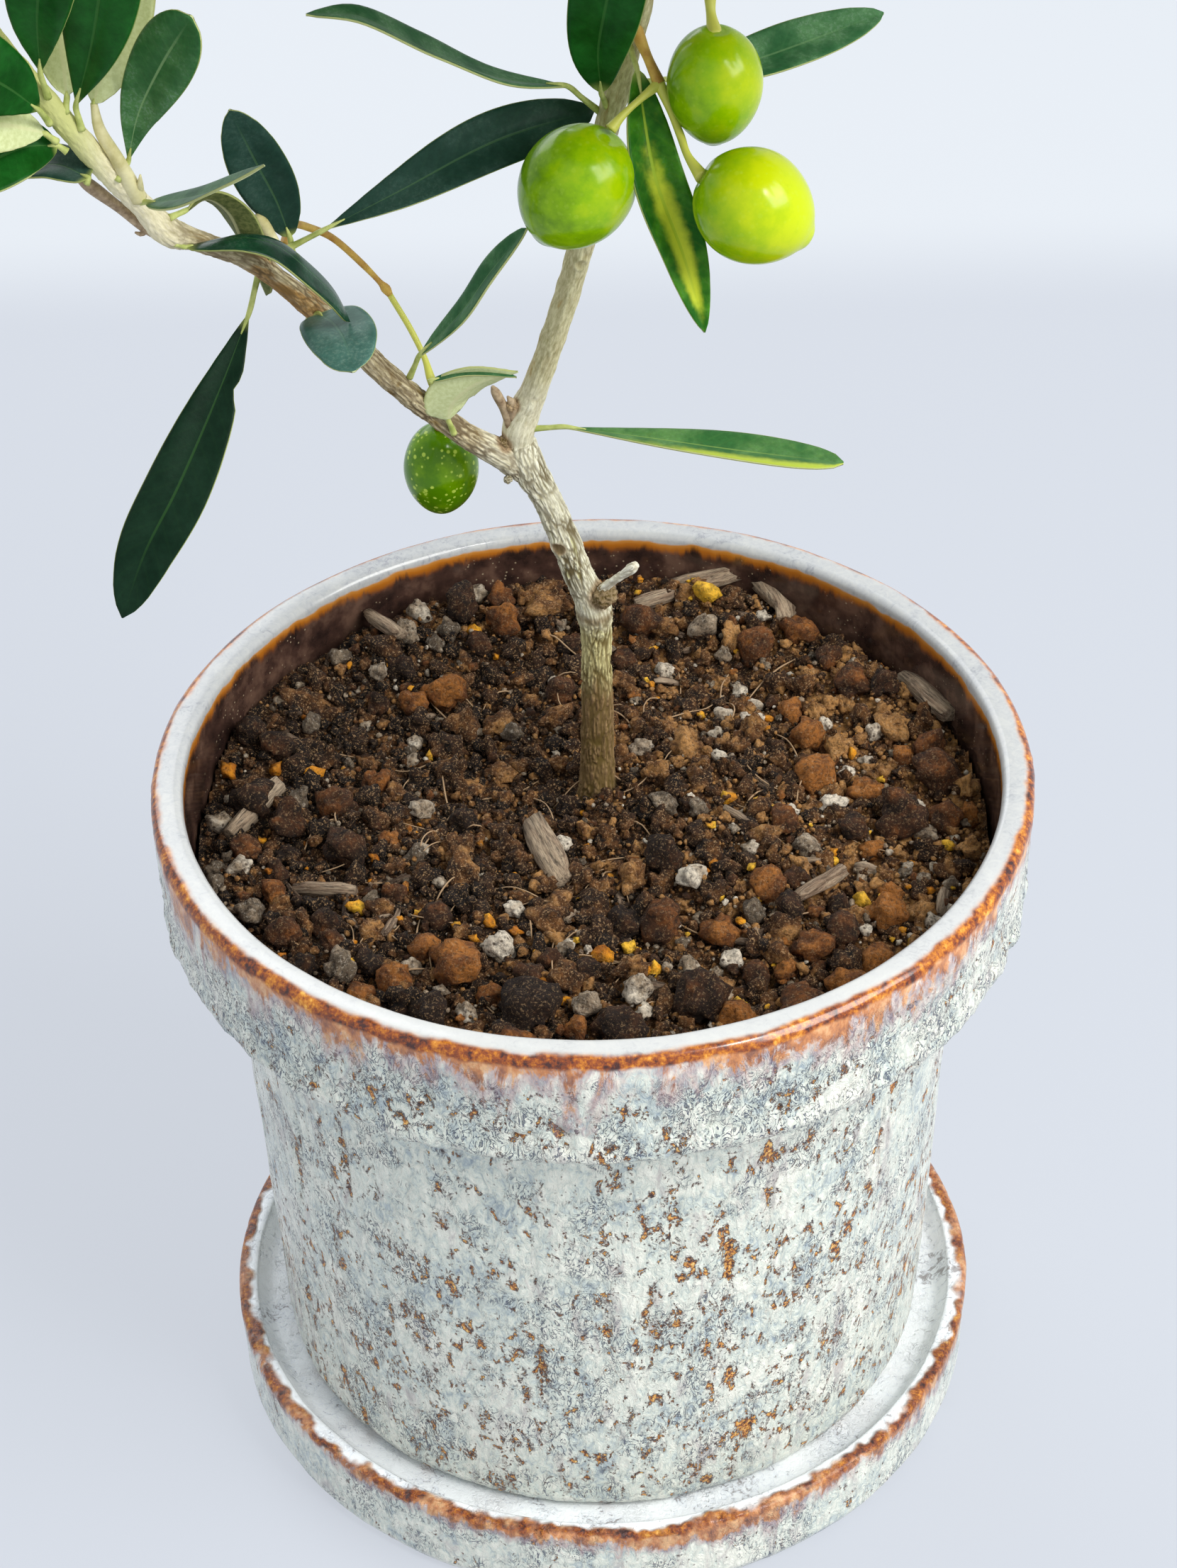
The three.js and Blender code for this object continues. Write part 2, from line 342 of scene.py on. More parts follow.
def arrays(bm):
    """The corners and faces of a bmesh, which is done with, as arrays to copy many times."""
    bm.verts.index_update()
    corners = np.array([vert.co[:] for vert in bm.verts])
    faces = [[vert.index for vert in face.verts] for face in bm.faces]
    bm.free()
    return corners, faces


def layer(bm, name, kind="float"):
    """The layer of numbers, one for each corner, with this name. It is made when it isn't there yet."""
    layers = getattr(bm.verts.layers, kind)
    return layers.get(name) or layers.new(name)


print("piece helpers ready")

# %% [markdown]
# ## The pot and its saucer
#
# Stoneware is thrown or pressed round, so both pieces start as half a profile that `spin` turns about
# the axis. The profile is refined first, because the glaze has real relief: it crawls, pits and pools.
# A number called `run` is kept at every corner, the distance along the profile from the outer edge of
# the rim, down the outside, and negative over the rim and inside. The glaze breaks to orange where it
# runs thin over an edge, and `run` is how its material knows where the edges are.

# %% Turned shells
def refined(profile, spacing):
    """The profile with corners at every spacing, as (radius, height) pairs."""
    points = [Vector(profile[0])]
    for end in map(Vector, profile[1:]):
        start = points[-1].copy()
        steps = max(1, round((end - start).length / spacing(start, end)))
        points += [start.lerp(end, step / steps) for step in range(1, steps + 1)]
    return points


def turned(points, edge, steps):
    """A closed shell turned about Z. edge is the point where run is zero."""
    bm = bmesh.new()
    run = layer(bm, "run")
    zero = min(range(len(points)), key=lambda i: (points[i] - edge).length)
    lengths = np.cumsum([0] + [(b - a).length for a, b in zip(points, points[1:])])
    verts = []
    for point, length in zip(points, lengths):
        vert = bm.verts.new((point.x, 0, point.y))
        vert[run] = length - lengths[zero]
        verts.append(vert)
    edges = [bm.edges.new(pair) for pair in zip(verts, verts[1:])]
    bmesh.ops.spin(
        bm, geom=verts + edges, axis=(0, 0, 1), cent=(0, 0, 0), angle=2 * math.pi, steps=steps, use_merge=True
    )
    bmesh.ops.remove_doubles(bm, verts=bm.verts, dist=1e-7)
    return bm, run


def pits(place, seed, size, stretch=1.7):
    """0 on whole glaze, up to 1 in the middle of a pit, longer down the wall than across."""
    point = Vector((place.x, place.y, place.z / stretch)) / size + Vector((seed, 2 * seed, 3 * seed))
    patch = noise.noise(point * 0.33)
    return max(0.0, noise.noise(point) + 0.55 * patch + 0.25 * noise.noise(point * 2.7) - 0.42) / 0.35


def smoothstep(low, high, value):
    share = min(1.0, max(0.0, (value - low) / (high - low)))
    return share * share * (3 - 2 * share)


print("a smooth step from 0 to 1 is at", smoothstep(0, 1, 0.25), "after a quarter")

# %% [markdown]
# The pot has a straight collar, twenty-four millimetres deep, and a body that draws in a little to the
# foot. The relief is put in along the wall's own outward direction: slow swells everywhere, craters and
# curds on the lower collar where the glaze is thickest, and pits on the body.

# %% Pot mesh
POT_STEPS = 620
pot_low, pot_high = (Vector(corner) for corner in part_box("pot"))
RIM = pot_high.x
RIM_TOP = pot_high.z
POT_FOOT = pot_low.z
MOUTH = 69.15 * MM
COLLAR = 24 * MM
COLLAR_FOOT = RIM_TOP - COLLAR
NECK = 63.5 * MM
FOOT = 59.2 * MM
WALL = 5.8 * MM
SOIL_LEVEL = RIM_TOP - 15.3 * MM


def arc(centre, radius, start, end, steps):
    """Points of (radius, height) round a centre, with angles in degrees from outwards to up."""
    turn = [math.radians(start + (end - start) * step / steps) for step in range(steps + 1)]
    return [(centre[0] + radius * math.cos(a), centre[1] + radius * math.sin(a)) for a in turn]


def pot_profile():
    rim_round = 2.1 * MM
    lip_round = 1.5 * MM
    collar_round = 2.6 * MM
    inside = [
        (0, POT_FOOT + 8 * MM),
        (FOOT - WALL - 4 * MM, POT_FOOT + 8 * MM),
        (FOOT - WALL, POT_FOOT + 12 * MM),
        (NECK - WALL, COLLAR_FOOT - WALL),
        (MOUTH - 0.6 * MM, COLLAR_FOOT + 2 * MM),
    ]
    lip = arc((MOUTH + lip_round, RIM_TOP - lip_round), lip_round, 180, 90, 5)
    rim = arc((RIM - rim_round, RIM_TOP - rim_round), rim_round, 90, 0, 6)
    collar_reach = 73.8 * MM
    collar_foot = arc((collar_reach - collar_round, COLLAR_FOOT + collar_round), collar_round, 0, -80, 6)
    body = [
        (NECK + 3.4 * MM, COLLAR_FOOT + 0.3 * MM),
        (NECK + 1.2 * MM, COLLAR_FOOT - 0.8 * MM),
        (NECK, COLLAR_FOOT - 3.4 * MM),
        (FOOT + 0.2 * MM, POT_FOOT + 3.2 * MM),
        (FOOT - 0.5 * MM, POT_FOOT + 1.2 * MM),
        (FOOT - 2 * MM, POT_FOOT),
        (0, POT_FOOT),
    ]
    return inside + lip + rim + collar_foot + body


def pot_spacing(start, end):
    hidden = start.x < FOOT - 3 * MM or (end.x < MOUTH - 0.3 * MM and start.x < MOUTH and end.y < SOIL_LEVEL)
    return 12 * MM if hidden else 0.85 * MM


def pot_relief(place, run):
    """How far the glaze stands out of the smooth wall, and how deep in a pit it is."""
    swell = 0.32 * MM * noise.noise(place / (17 * MM)) + 0.12 * MM * noise.noise(place / (5 * MM))
    if run < 0.8 * MM:
        return swell * 0.4, 0.0
    collar = smoothstep(6 * MM, 15 * MM, run) * (1 - smoothstep(27 * MM, 33 * MM, run))
    curds = noise.noise(place / (2.6 * MM)) + 0.6 * noise.noise(place / (1.2 * MM) + Vector((5, 5, 5)))
    bead = math.exp(-(((run - 20.5 * MM) / (2.4 * MM)) ** 2)) * (0.8 + noise.noise(place / (6 * MM)))
    crater = pits(place, 3, 2.6 * MM, 1.2) * collar
    pit = pits(place, 7, 2.6 * MM) * smoothstep(24 * MM, 34 * MM, run)
    relief = swell + (0.15 + 0.18 * collar) * MM * curds + 0.6 * MM * bead
    return relief - 0.8 * MM * min(1.2, crater) - 0.5 * MM * min(1.1, pit), max(pit, crater * 0.8)


def make_pot():
    edge = Vector((RIM - 0.5 * MM, RIM_TOP - 0.6 * MM))
    bm, run = turned(refined(pot_profile(), pot_spacing), edge, POT_STEPS)
    pit_layer = layer(bm, "pit")
    bm.normal_update()
    bmesh.ops.recalc_face_normals(bm, faces=bm.faces)
    bm.normal_update()
    for vert in bm.verts:
        if vert[run] < -14 * MM or vert.co.z < POT_FOOT + 0.6 * MM:
            continue
        stand, pit = pot_relief(vert.co.copy(), vert[run])
        vert[pit_layer] = pit
        vert.co += vert.normal * stand
    return finish_mesh("pot_glazed", bm)


pot_mesh = make_pot()
print("pot", len(pot_mesh.vertices), "corners")

# %% [markdown]
# The glaze is a pale celadon that breaks into blue-grey, cream and rust. In the shader, slow noise gives
# the mottling, fast noise the curdled grain, and the pits from the mesh turn orange-brown with dark
# edges. Bands on `run` add the orange line at the rim's edge, the purple-brown flush under it, the smooth
# white top of the rim and the dark inside.

# %% Glaze finish
CELADON = (
    (0.33, (0.28, 0.35, 0.41)), (0.42, (0.54, 0.61, 0.59)), (0.48, (0.73, 0.78, 0.69)),
    (0.57, (0.90, 0.90, 0.79))
)
AMBER = (
    (0.40, (0.05, 0.014, 0.012)), (0.49, (0.27, 0.058, 0.009)), (0.58, (0.58, 0.20, 0.014)),
    (0.68, (0.90, 0.50, 0.09))
)
RIM_GREY = ((0.36, (0.31, 0.32, 0.345)), (0.45, (0.44, 0.45, 0.46)), (0.62, (0.52, 0.525, 0.51)))
SNOW = ((0.37, (0.38, 0.36, 0.36)), (0.43, (0.84, 0.88, 0.93)), (0.48, (0.95, 0.98, 1.0)))
GOLD_FLECKS = (
    (0.40, (0.045, 0.024, 0.020)), (0.48, (0.30, 0.085, 0.018)), (0.55, (0.74, 0.32, 0.045)),
    (0.66, (0.95, 0.66, 0.24))
)
PINK_DRIPS = ((0.35, (0.20, 0.13, 0.20)), (0.5, (0.50, 0.35, 0.35)), (0.65, (0.76, 0.64, 0.56)))
ORANGE_DRIPS = ((0.36, (0.24, 0.075, 0.03)), (0.5, (0.55, 0.20, 0.05)), (0.64, (0.78, 0.44, 0.20)))
INNER_DARK = ((0.35, (0.022, 0.012, 0.010)), (0.5, (0.055, 0.028, 0.021)), (0.65, (0.13, 0.072, 0.05)))
INNER_GLOW = (
    (0.0, (0.60, 0.26, 0.05)), (0.2, (0.44, 0.14, 0.012)), (0.55, (0.17, 0.048, 0.012)),
    (1.0, (0.07, 0.034, 0.022))
)
BLUE_GREY = (0.07, 0.09, 0.145)
PURPLE_GREY = (0.42, 0.35, 0.36)
# the colour of the painted shade under the collar
PAINTED_COLLAR_SHADE = (0.40, 0.38, 0.35)
RUST_HALO = (0.42, 0.27, 0.22)
RUST_RING = (0.055, 0.05, 0.055)
DARK_SPECK = (0.10, 0.075, 0.07)
# the white of the painted reflection on the front of the rim's top
PAINTED_RIM_REFLECTION = (0.80, 0.80, 0.78)
PALE_FLECK = (0.50, 0.40, 0.26)


def glaze(name, inner_edge=None, line=(-0.9, 1.5), reach=1.0, spots=0.0, rim=RIM_GREY, collar_marks_and_painted_shade=None, wave=2.2):
    """inner_edge is the run of the inner lip, line the amber edge's start and end,
    collar_marks_and_painted_shade the start and end of a band of painted shade under the collar, whose
    presence also adds squiggles on the collar and rust spots just below it, and wave how far the bands
    wander, all in millimetres. reach is how far the drips run, and spots makes more rust spots or fewer."""
    made, tree, shader = material(name, 0.22, Coat_Weight=0.25, Coat_Roughness=0.1)
    run = attribute(tree, "run")
    place = object_place(tree)
    down = object_place(tree, (1, 1, 0.55))
    slow = cloud(place, 85, 4, 0.6, 0.6)
    grain = cloud(down, 700, 5, 0.68, 1.2)
    drip = cloud(object_place(tree, (1, 1, 0.27)), 200, 5, 0.68, 0.9)
    edge = run + (cloud(place, 160, 2) - 0.5) * (wave * MM)

    # curdled celadon with squiggles of blue-grey, and purple-grey streaks down the wall
    mixed = slow * 0.42 + grain * 0.58
    color = ramp(mixed, *CELADON)
    color = blend(rise(drip, 0.53, 0.68) * rise(slow, 0.40, 0.56) * 0.6, color, PURPLE_GREY)
    thin = rise(abs(cloud(down, 520, 3, 0.55, 2.4) - 0.5), 0.036, 0.010)
    where = cloud(place, 105, 3, 0.6, 0.5)
    if collar_marks_and_painted_shade:
        where = where + between(run, 9 * MM, 22 * MM, 4 * MM) * 0.13
    squiggles = thin * rise(where, 0.47, 0.60)
    color = blend(squiggles * 0.9, color, BLUE_GREY)
    # painted shade: a darker band on the wall just under the collar's foot, where the collar's shadow falls
    if collar_marks_and_painted_shade:
        shaded = between(edge, collar_marks_and_painted_shade[0] * MM, collar_marks_and_painted_shade[1] * MM, 2 * MM)
        color = blend(shaded * 0.75, color, PAINTED_COLLAR_SHADE, "MULTIPLY")

    # rust spots in clusters: dark brown rings with gold flecks inside, none on the smooth rim
    outside = rise(run, 2.5 * MM, 7 * MM) if inner_edge else 1.0
    spot = cloud(down, 540, 4, 0.62, 0.6) + (cloud(place, 120, 3, 0.65) - 0.5) * 0.5
    spot = spot + attribute(tree, "pit") * 0.14 + rise(run, 40 * MM, 105 * MM) * 0.03
    if collar_marks_and_painted_shade:
        spot = spot + between(run, 25 * MM, 38 * MM, 4 * MM) * 0.035
    spot = spot + (cloud(place, 1700, 2, 0.6) - 0.5) * 0.30
    spot = (spot + (spots - 0.013)) * outside
    color = blend(rise(spot, 0.56, 0.66) * 0.6, color, RUST_HALO)
    color = blend(rise(spot, 0.622, 0.642) * 0.85, color, RUST_RING)
    color = blend(rise(spot, 0.655, 0.675), color, ramp(cloud(place, 1400, 3, 0.7), *GOLD_FLECKS))
    specks = rise(cells(place, 800), 0.24, 0.12) * rise(cloud(place, 75, 3, 0.6), 0.50, 0.60) * outside
    color = blend(specks * 0.85, color, DARK_SPECK)

    # the amber edge, and the drips that run from it: orange, then pink and lilac
    run_down = drip * 0.72 + grain * 0.28 - calc("MAXIMUM", edge, 0.0) * (0.026 / (MM * reach))
    run_down = run_down + (cloud(place, 40, 2) - 0.5) * 0.8
    color = blend(rise(run_down, 0.22, 0.37) * 0.75, color, ramp(cloud(down, 480, 3), *PINK_DRIPS))
    color = blend(rise(run_down, 0.36, 0.45) * 0.92, color, ramp(cloud(down, 420, 4, 0.6), *ORANGE_DRIPS))
    top = rise(edge, (line[0] + 0.5) * MM, (line[0] - 0.9) * MM)
    color = blend(top, color, ramp(mixed, *rim))
    # painted reflection: the top of the rim turns whiter towards the front
    if inner_edge:
        color = blend(top * rise(part_of(place, "Y"), 10 * MM, -65 * MM) * 0.4, color, PAINTED_RIM_REFLECTION)
    pooled = cloud(place, 900, 4, 0.7) * 0.55 + cloud(place, 210, 3, 0.6) * 0.45
    broken = 1.0 if inner_edge else rise(cloud(place, 110, 3, 0.6), 0.41, 0.53)
    amber_share = between(edge, line[0] * MM, line[1] * MM, 0.45 * MM) * broken
    color = blend(amber_share, color, ramp(pooled, *AMBER))

    # inside, the glaze glows orange under the lip and then turns dark, with pale flecks
    if inner_edge:
        depth = inner_edge * MM - edge
        dark = ramp(cloud(place, 160, 4, 0.6), *INNER_DARK)
        flecks = rise(cells(place, 900), 0.20, 0.10) * rise(slow, 0.48, 0.58) * 0.6
        dark = blend(flecks, dark, PALE_FLECK)
        glow = ramp(depth / (4.6 * MM), *INNER_GLOW)
        inner = blend(rise(depth + (0.5 - drip) * (6 * MM), 0.7 * MM, 2.6 * MM), glow, dark)
        color = blend(rise(depth, -0.25 * MM, 0.25 * MM), color, inner)

    rust = rise(spot, 0.58, 0.68)
    wire(shader, Base_Color=color, Roughness=rust * 0.3 + 0.2)
    height = mixed * 1.6 - (rust * 0.7 + squiggles * 0.3)
    calm = rise(run, 1.0 * MM, 6 * MM) if inner_edge else 1.0 - top * 0.7
    bump(shader, height * calm, 0.85, 0.9 * MM)
    return made


pot_glaze = glaze("celadon_glaze", inner_edge=-6.4, collar_marks_and_painted_shade=(25, 33))
piece("pot_glazed", pot_mesh, [pot_glaze], ["pot"])

# %% [markdown]
# The saucer is a heavy shallow dish with a nearly upright wall. Its glaze pooled white in the dish, broke
# to rust on the edge in dabs, and ran green and smooth down the outside.

# %% Saucer
SAUCER_STEPS = 420
saucer_high = Vector(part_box("saucer")[1])
DISH = saucer_high.x
DISH_TOP = saucer_high.z
DISH_FLOOR = POT_FOOT - 0.3 * MM


def saucer_profile():
    edge_round = 1.3 * MM
    dish = [(0, DISH_FLOOR), (DISH - 6.6 * MM, DISH_FLOOR), (DISH - 5.4 * MM, DISH_FLOOR + 0.7 * MM)]
    rise_up = [(DISH - 3.4 * MM, DISH_TOP - 1.0 * MM)]
    rim = arc((DISH - 2 * edge_round, DISH_TOP - edge_round), edge_round, 140, 90, 3)
    outer = arc((DISH - edge_round, DISH_TOP - edge_round), edge_round, 90, 0, 5)
    wall = [(DISH - 0.5 * MM, 2.4 * MM), (DISH - 1.4 * MM, 0.6 * MM), (DISH - 2.6 * MM, 0), (0, 0)]
    return dish + rise_up + rim + outer + wall


def saucer_spacing(start, end):
    return 15 * MM if end.x < DISH - 9 * MM or start.x < DISH - 9 * MM else 0.8 * MM


def make_saucer():
    bm, run = turned(refined(saucer_profile(), saucer_spacing),
                     Vector((DISH - 0.6 * MM, DISH_TOP - 0.5 * MM)), SAUCER_STEPS)
    pit_layer = layer(bm, "pit")
    bmesh.ops.recalc_face_normals(bm, faces=bm.faces)
    bm.normal_update()
    for vert in bm.verts:
        if vert.co.z < 0.3 * MM or vert.co.xy.length < DISH - 9 * MM:
            continue
        place = vert.co.copy()
        pit = pits(place, 11, 4 * MM, 1.2) * smoothstep(-9 * MM, -1 * MM, vert[run])
        pit *= 1 - smoothstep(2 * MM, 6 * MM, vert[run])
        vert[pit_layer] = pit
        swell = 0.22 * MM * noise.noise(place / (12 * MM)) + 0.08 * MM * noise.noise(place / (3 * MM))
        vert.co += vert.normal * (swell - 0.2 * MM * min(1, pit))
    return finish_mesh("saucer_glazed", bm)


saucer_glaze = glaze("saucer_glaze", line=(-1.3, 0.7), reach=0.4, spots=-0.045, rim=SNOW, wave=7.0)
piece("saucer_glazed", make_saucer(), [saucer_glaze], ["saucer"])

# %% [markdown]
# ## Limbs
#
# Every limb is a flat sheet rolled into a tube and bent along a smooth curve through its joints, each a
# place and a radius in millimetres. The curve is a centripetal Catmull-Rom spline, which bends without
# bulging between uneven joints. Each corner remembers where it was on the straight limb, in an attribute
# called `grain`, so bark runs along the limb however it bends.

# %% Curves through joints
def spline(joints, spacing):
    """Even points along the smooth curve through joints (x, y, z and more), in millimetres."""
    keys = np.array(joints, dtype=float)
    knots = np.concatenate([[0], np.cumsum(np.linalg.norm(np.diff(keys[:, :3], axis=0), axis=1) ** 0.5)])
    slopes = np.gradient(keys, knots, axis=0)
    t = np.linspace(0, knots[-1], 24 * len(keys))
    i = np.clip(np.searchsorted(knots, t, "right") - 1, 0, len(keys) - 2)
    width = (knots[i + 1] - knots[i])[:, None]
    s = (t - knots[i])[:, None] / width
    dense = (2 * s**3 - 3 * s**2 + 1) * keys[i] + (s**3 - 2 * s**2 + s) * width * slopes[i]
    dense += (3 * s**2 - 2 * s**3) * keys[i + 1] + (s**3 - s**2) * width * slopes[i + 1]
    lengths = np.concatenate([[0], np.cumsum(np.linalg.norm(np.diff(dense[:, :3], axis=0), axis=1))])
    even = np.linspace(0, lengths[-1], max(3, round(lengths[-1] / spacing) + 1))
    return np.stack([np.interp(even, lengths, column) for column in dense.T], axis=1), even


def carried(path, first):
    """Tangents along a path, and the direction first carried along it, always square to it."""
    tangents = np.gradient(path, axis=0)
    tangents /= np.linalg.norm(tangents, axis=1)[:, None]
    side = np.array(first, dtype=float)
    if abs(side.dot(tangents[0])) > 0.95 * np.linalg.norm(side):
        side = side[[1, 2, 0]]
    carried_sides = []
    for tangent in tangents:
        side = side - tangent * side.dot(tangent)
        side = side / np.linalg.norm(side)
        carried_sides.append(side)
    return tangents, np.array(carried_sides)


def sheet(bm, along, across):
    """A flat grid of corners, as a list of (corner, row along, column across)."""
    verts = bmesh.ops.create_grid(bm, x_segments=along, y_segments=across, size=0.5)["verts"]
    return [(vert, round((vert.co.x + 0.5) * along), round((vert.co.y + 0.5) * across)) for vert in verts]


def roll(bm, joints, around, spacing, relief=None):
    """Roll a sheet into a tube along joints (x, y, z, radius) in millimetres, with closed ends."""
    path, lengths = spline(joints, spacing)
    tangents, first = carried(path[:, :3], (1, 0, 0))
    second = np.cross(tangents, first)
    grain, crack = layer(bm, "grain", "float_vector"), layer(bm, "crack")
    rows = sheet(bm, len(path) - 1, around)
    for vert, i, j in rows:
        turn = 2 * math.pi * j / around
        radius = path[i, 3]
        straight = Vector((radius * math.cos(turn), radius * math.sin(turn), lengths[i]))
        outward = first[i] * math.cos(turn) + second[i] * math.sin(turn)
        stand, deep = relief(straight, Vector(path[i, :3] + outward * radius)) if relief else (0, 0)
        vert.co = Vector(path[i, :3] + outward * (radius + stand)) * MM
        vert[grain] = straight * MM
        vert[crack] = deep
    verts = [row[0] for row in rows]
    ends = [vert for vert, i, j in rows if i in (0, len(path) - 1)]
    bmesh.ops.remove_doubles(bm, verts=verts, dist=1e-7)
    rims = {edge for vert in ends if vert.is_valid for edge in vert.link_edges if edge.is_boundary}
    bmesh.ops.holes_fill(bm, edges=list(rims), sides=0)


test = bmesh.new()
roll(test, [(0, 0, 0, 2), (0, 0, 20, 2)], 12, 2)
print("a test limb:", len(test.verts), "corners,", len(test.faces), "faces")
test.free()

# %% [markdown]
# The bark is a net. Olive bark splits into lens-shaped plates, longer along the stem than across, with
# narrow fissures between, so the relief is a field of stretched Voronoi cells: where the two nearest
# cell centres are equally far, there is a fissure. The same number is kept as `crack`, so the colour of
# the fissures lies exactly in the relief. A slow swell and, at the places where leaves were shed, small
# round scars break the evenness.

# %% Bark relief
def net(straight, across, along, seed):
    """1 in the middle of a fissure of the net and 0 on a plate. Cell sizes are in millimetres."""
    wander = Vector((0, 0, 0.9 * along * noise.noise(straight / (0.8 * along) + Vector((seed, 0, 0)))))
    point = straight + wander
    cell = Vector((point.x / across, point.y / across, point.z / along + seed))
    near = noise.voronoi(cell)[0]
    return 1 - smoothstep(0.05, 0.25, near[1] - near[0])


def bark_relief(seed, across, along, depth, scars=()):
    def relief(straight, place):
        big = net(straight, across, along, seed)
        small = net(straight, across * 0.55, along * 0.5, seed + 9)
        crack = max(big, 0.65 * small)
        patch = 0.75 + 0.5 * noise.noise(straight / 6 + Vector((0, seed, 0)))
        stand = 0.16 * noise.noise(straight / 3.2 + Vector((seed, 0, 0))) + depth * (0.4 - crack * patch)
        stand += 0.3 * depth * noise.noise(Vector((straight.x, straight.y, straight.z * 0.4)) / 0.35)
        for centre, size in scars:
            away = (place - Vector(centre)).length / size
            if away < 1.5:
                ring = math.exp(-(((away - 0.95) / 0.28) ** 2))
                stand = stand * min(1, away) + 0.28 * ring - 0.22 * (1 - smoothstep(0.3, 0.8, away))
                crack = max(crack * smoothstep(0.5, 1.3, away), 0.9 * (1 - smoothstep(0.6, 0.9, away)))
        return stand, min(1.0, crack * patch * 1.15)

    return relief


print("cracks up a stem:", [round(net(Vector((2, 0, z)), 0.8, 5.0, 2), 2) for z in range(0, 30, 6)])

# %% [markdown]
# The joints of the stem are those of the frame: the trunk with its knot where it turns, the right-hand
# leader and the long left bough. The radius swells at each node.

# %% Stem
TRUNK = [
    (1, 13, 116, 4.1), (1, 13, 120, 3.2), (1, 13, 125, 2.9), (1.1, 13, 134, 2.75), (1.2, 13, 146, 2.5),
    (1.2, 13, 152.5, 2.6), (1.0, 12.9, 156, 3.0), (0.2, 12.7, 159.5, 2.75), (-1.6, 12.2, 164.5, 2.45),
    (-4.2, 11.5, 173.5, 2.45), (-6.8, 11, 181, 2.35), (-9.2, 10.6, 186.6, 2.75), (-10.7, 10.4, 191.5, 2.75),
    (-10.9, 10.2, 194.5, 2.2),
]
LEADER = [
    (-10.4, 10.5, 187, 2.0), (-10.9, 10.2, 192.5, 2.55), (-10.3, 9.9, 196.2, 2.75), (-7.9, 9, 202.4, 2.2),
    (-3.7, 7, 216.6, 2.0), (-0.1, 5, 230.2, 2.0), (4.4, 1, 253.7, 1.9), (6.2, 0, 261, 2.2),
    (7.2, -0.6, 265, 1.75), (9.5, -2, 274.7, 1.65), (12, -3, 300, 1.45), (9, -1, 330, 1.2),
    (6, 1, 360, 0.95),
]
LEFT_BOUGH = [
    (-9.6, 10.9, 184.5, 1.6), (-12.4, 9.5, 189, 2.3), (-19.8, 6, 196.7, 1.95), (-30.1, -2, 211.9, 1.9),
    (-36.2, -7, 222.8, 1.8), (-39.7, -10, 228.7, 1.85), (-45.6, -15.4, 238.2, 1.6),
    (-48.8, -18, 242.6, 1.65), (-55.5, -23, 248.6, 1.55), (-59.3, -26, 252.1, 2.2),
    (-61.5, -28, 256.3, 1.7), (-66, -32, 265.1, 1.75), (-73.1, -40, 281.9, 1.5), (-83, -47, 304, 1.15),
    (-90, -51, 322, 0.9),
]
CUT_STUB = [(1.6, 11.6, 160.6, 1.0), (3.4, 10.0, 163.7, 0.75), (5.7, 8.2, 166.8, 0.72),
            (7.4, 6.9, 169.1, 0.82), (7.9, 6.6, 169.8, 0.6)]
KNOB = (2.6, 10.9, 160.9)
FORK_LUMP = (-13.4, 8.6, 192.6)
LEADER_LUMP = (-11.6, 8.0, 200.2)
SCAR = (-4.8, 9.3, 171.4)


def shed_knob(bm, centre, size):
    """A rough lump of bark where a branch was lost."""
    made = bmesh.ops.create_icosphere(bm, subdivisions=4, radius=1)["verts"]
    grain, crack = layer(bm, "grain", "float_vector"), layer(bm, "crack")
    for vert in made:
        rough = noise.noise(vert.co * 2.1) * 0.26 + noise.noise(vert.co * 6) * 0.2
        vert[crack] = 0.55 + 0.6 * smoothstep(-0.05, 0.3, -noise.noise(vert.co * 6))
        vert.co = (Vector(centre) + vert.co * (1 + rough) * size) * MM
        vert[grain] = vert.co


def stem_mesh(name, joints, around, spacing, relief, knobs=()):
    bm = bmesh.new()
    roll(bm, joints, around, spacing, relief)
    for centre, size in knobs:
        shed_knob(bm, centre, size)
    return finish_mesh(name, bm)


trunk_mesh = stem_mesh("trunk_bark", TRUNK, 88, 0.22, bark_relief(2, 0.8, 5.0, 0.28, [(SCAR, 1.5)]),
                       [(KNOB, 2.1), (FORK_LUMP, 1.3), ((-12.6, 8.0, 186.2), 0.7)])
leader_mesh = stem_mesh("leader_bark", LEADER, 56, 0.3,
                        bark_relief(5, 1.0, 9.0, 0.07, [((-0.1, 3.1, 228.2), 1.15)]),
                        [(LEADER_LUMP, 1.0)])
bough_mesh = stem_mesh("left_bough_bark", LEFT_BOUGH, 56, 0.27, bark_relief(8, 0.75, 7.0, 0.17))
stub_mesh = stem_mesh("cut_stub_bark", CUT_STUB, 32, 0.25, bark_relief(12, 1.2, 3.0, 0.14))
print("limbs", [len(mesh.vertices) for mesh in (trunk_mesh, leader_mesh, bough_mesh, stub_mesh)], "corners")

# %% [markdown]
# The bark's colour goes from pale cream plates with olive-brown fissures on the trunk, by way of smoother
# green-grey on the leader, to tan on the left bough, whose last stretch is still a green shoot. Near the
# soil it is stained by years of splashing.

# %% Bark finish
FORK = (-10.6, 10.0, 191.5)
CREAM_PLATES = ((0.56, 0.52, 0.34), (0.90, 0.87, 0.68))
OLIVE_STAIN = ((0.36, 0.30, 0.10), (0.82, 0.74, 0.35))
SOIL_STAIN = ((0.09, 0.05, 0.022), (0.34, 0.22, 0.10))
SHED_BROWN = ((0.16, 0.08, 0.035), (0.52, 0.34, 0.17))
BOUGH_RUST = (0.42, 0.22, 0.06)
SHOOT_GREEN = (0.56, 0.57, 0.22)
BROWN_SPOTS = ((KNOB, 3.7), (FORK_LUMP, 2.4), (SCAR, 1.7), (LEADER_LUMP, 1.9))


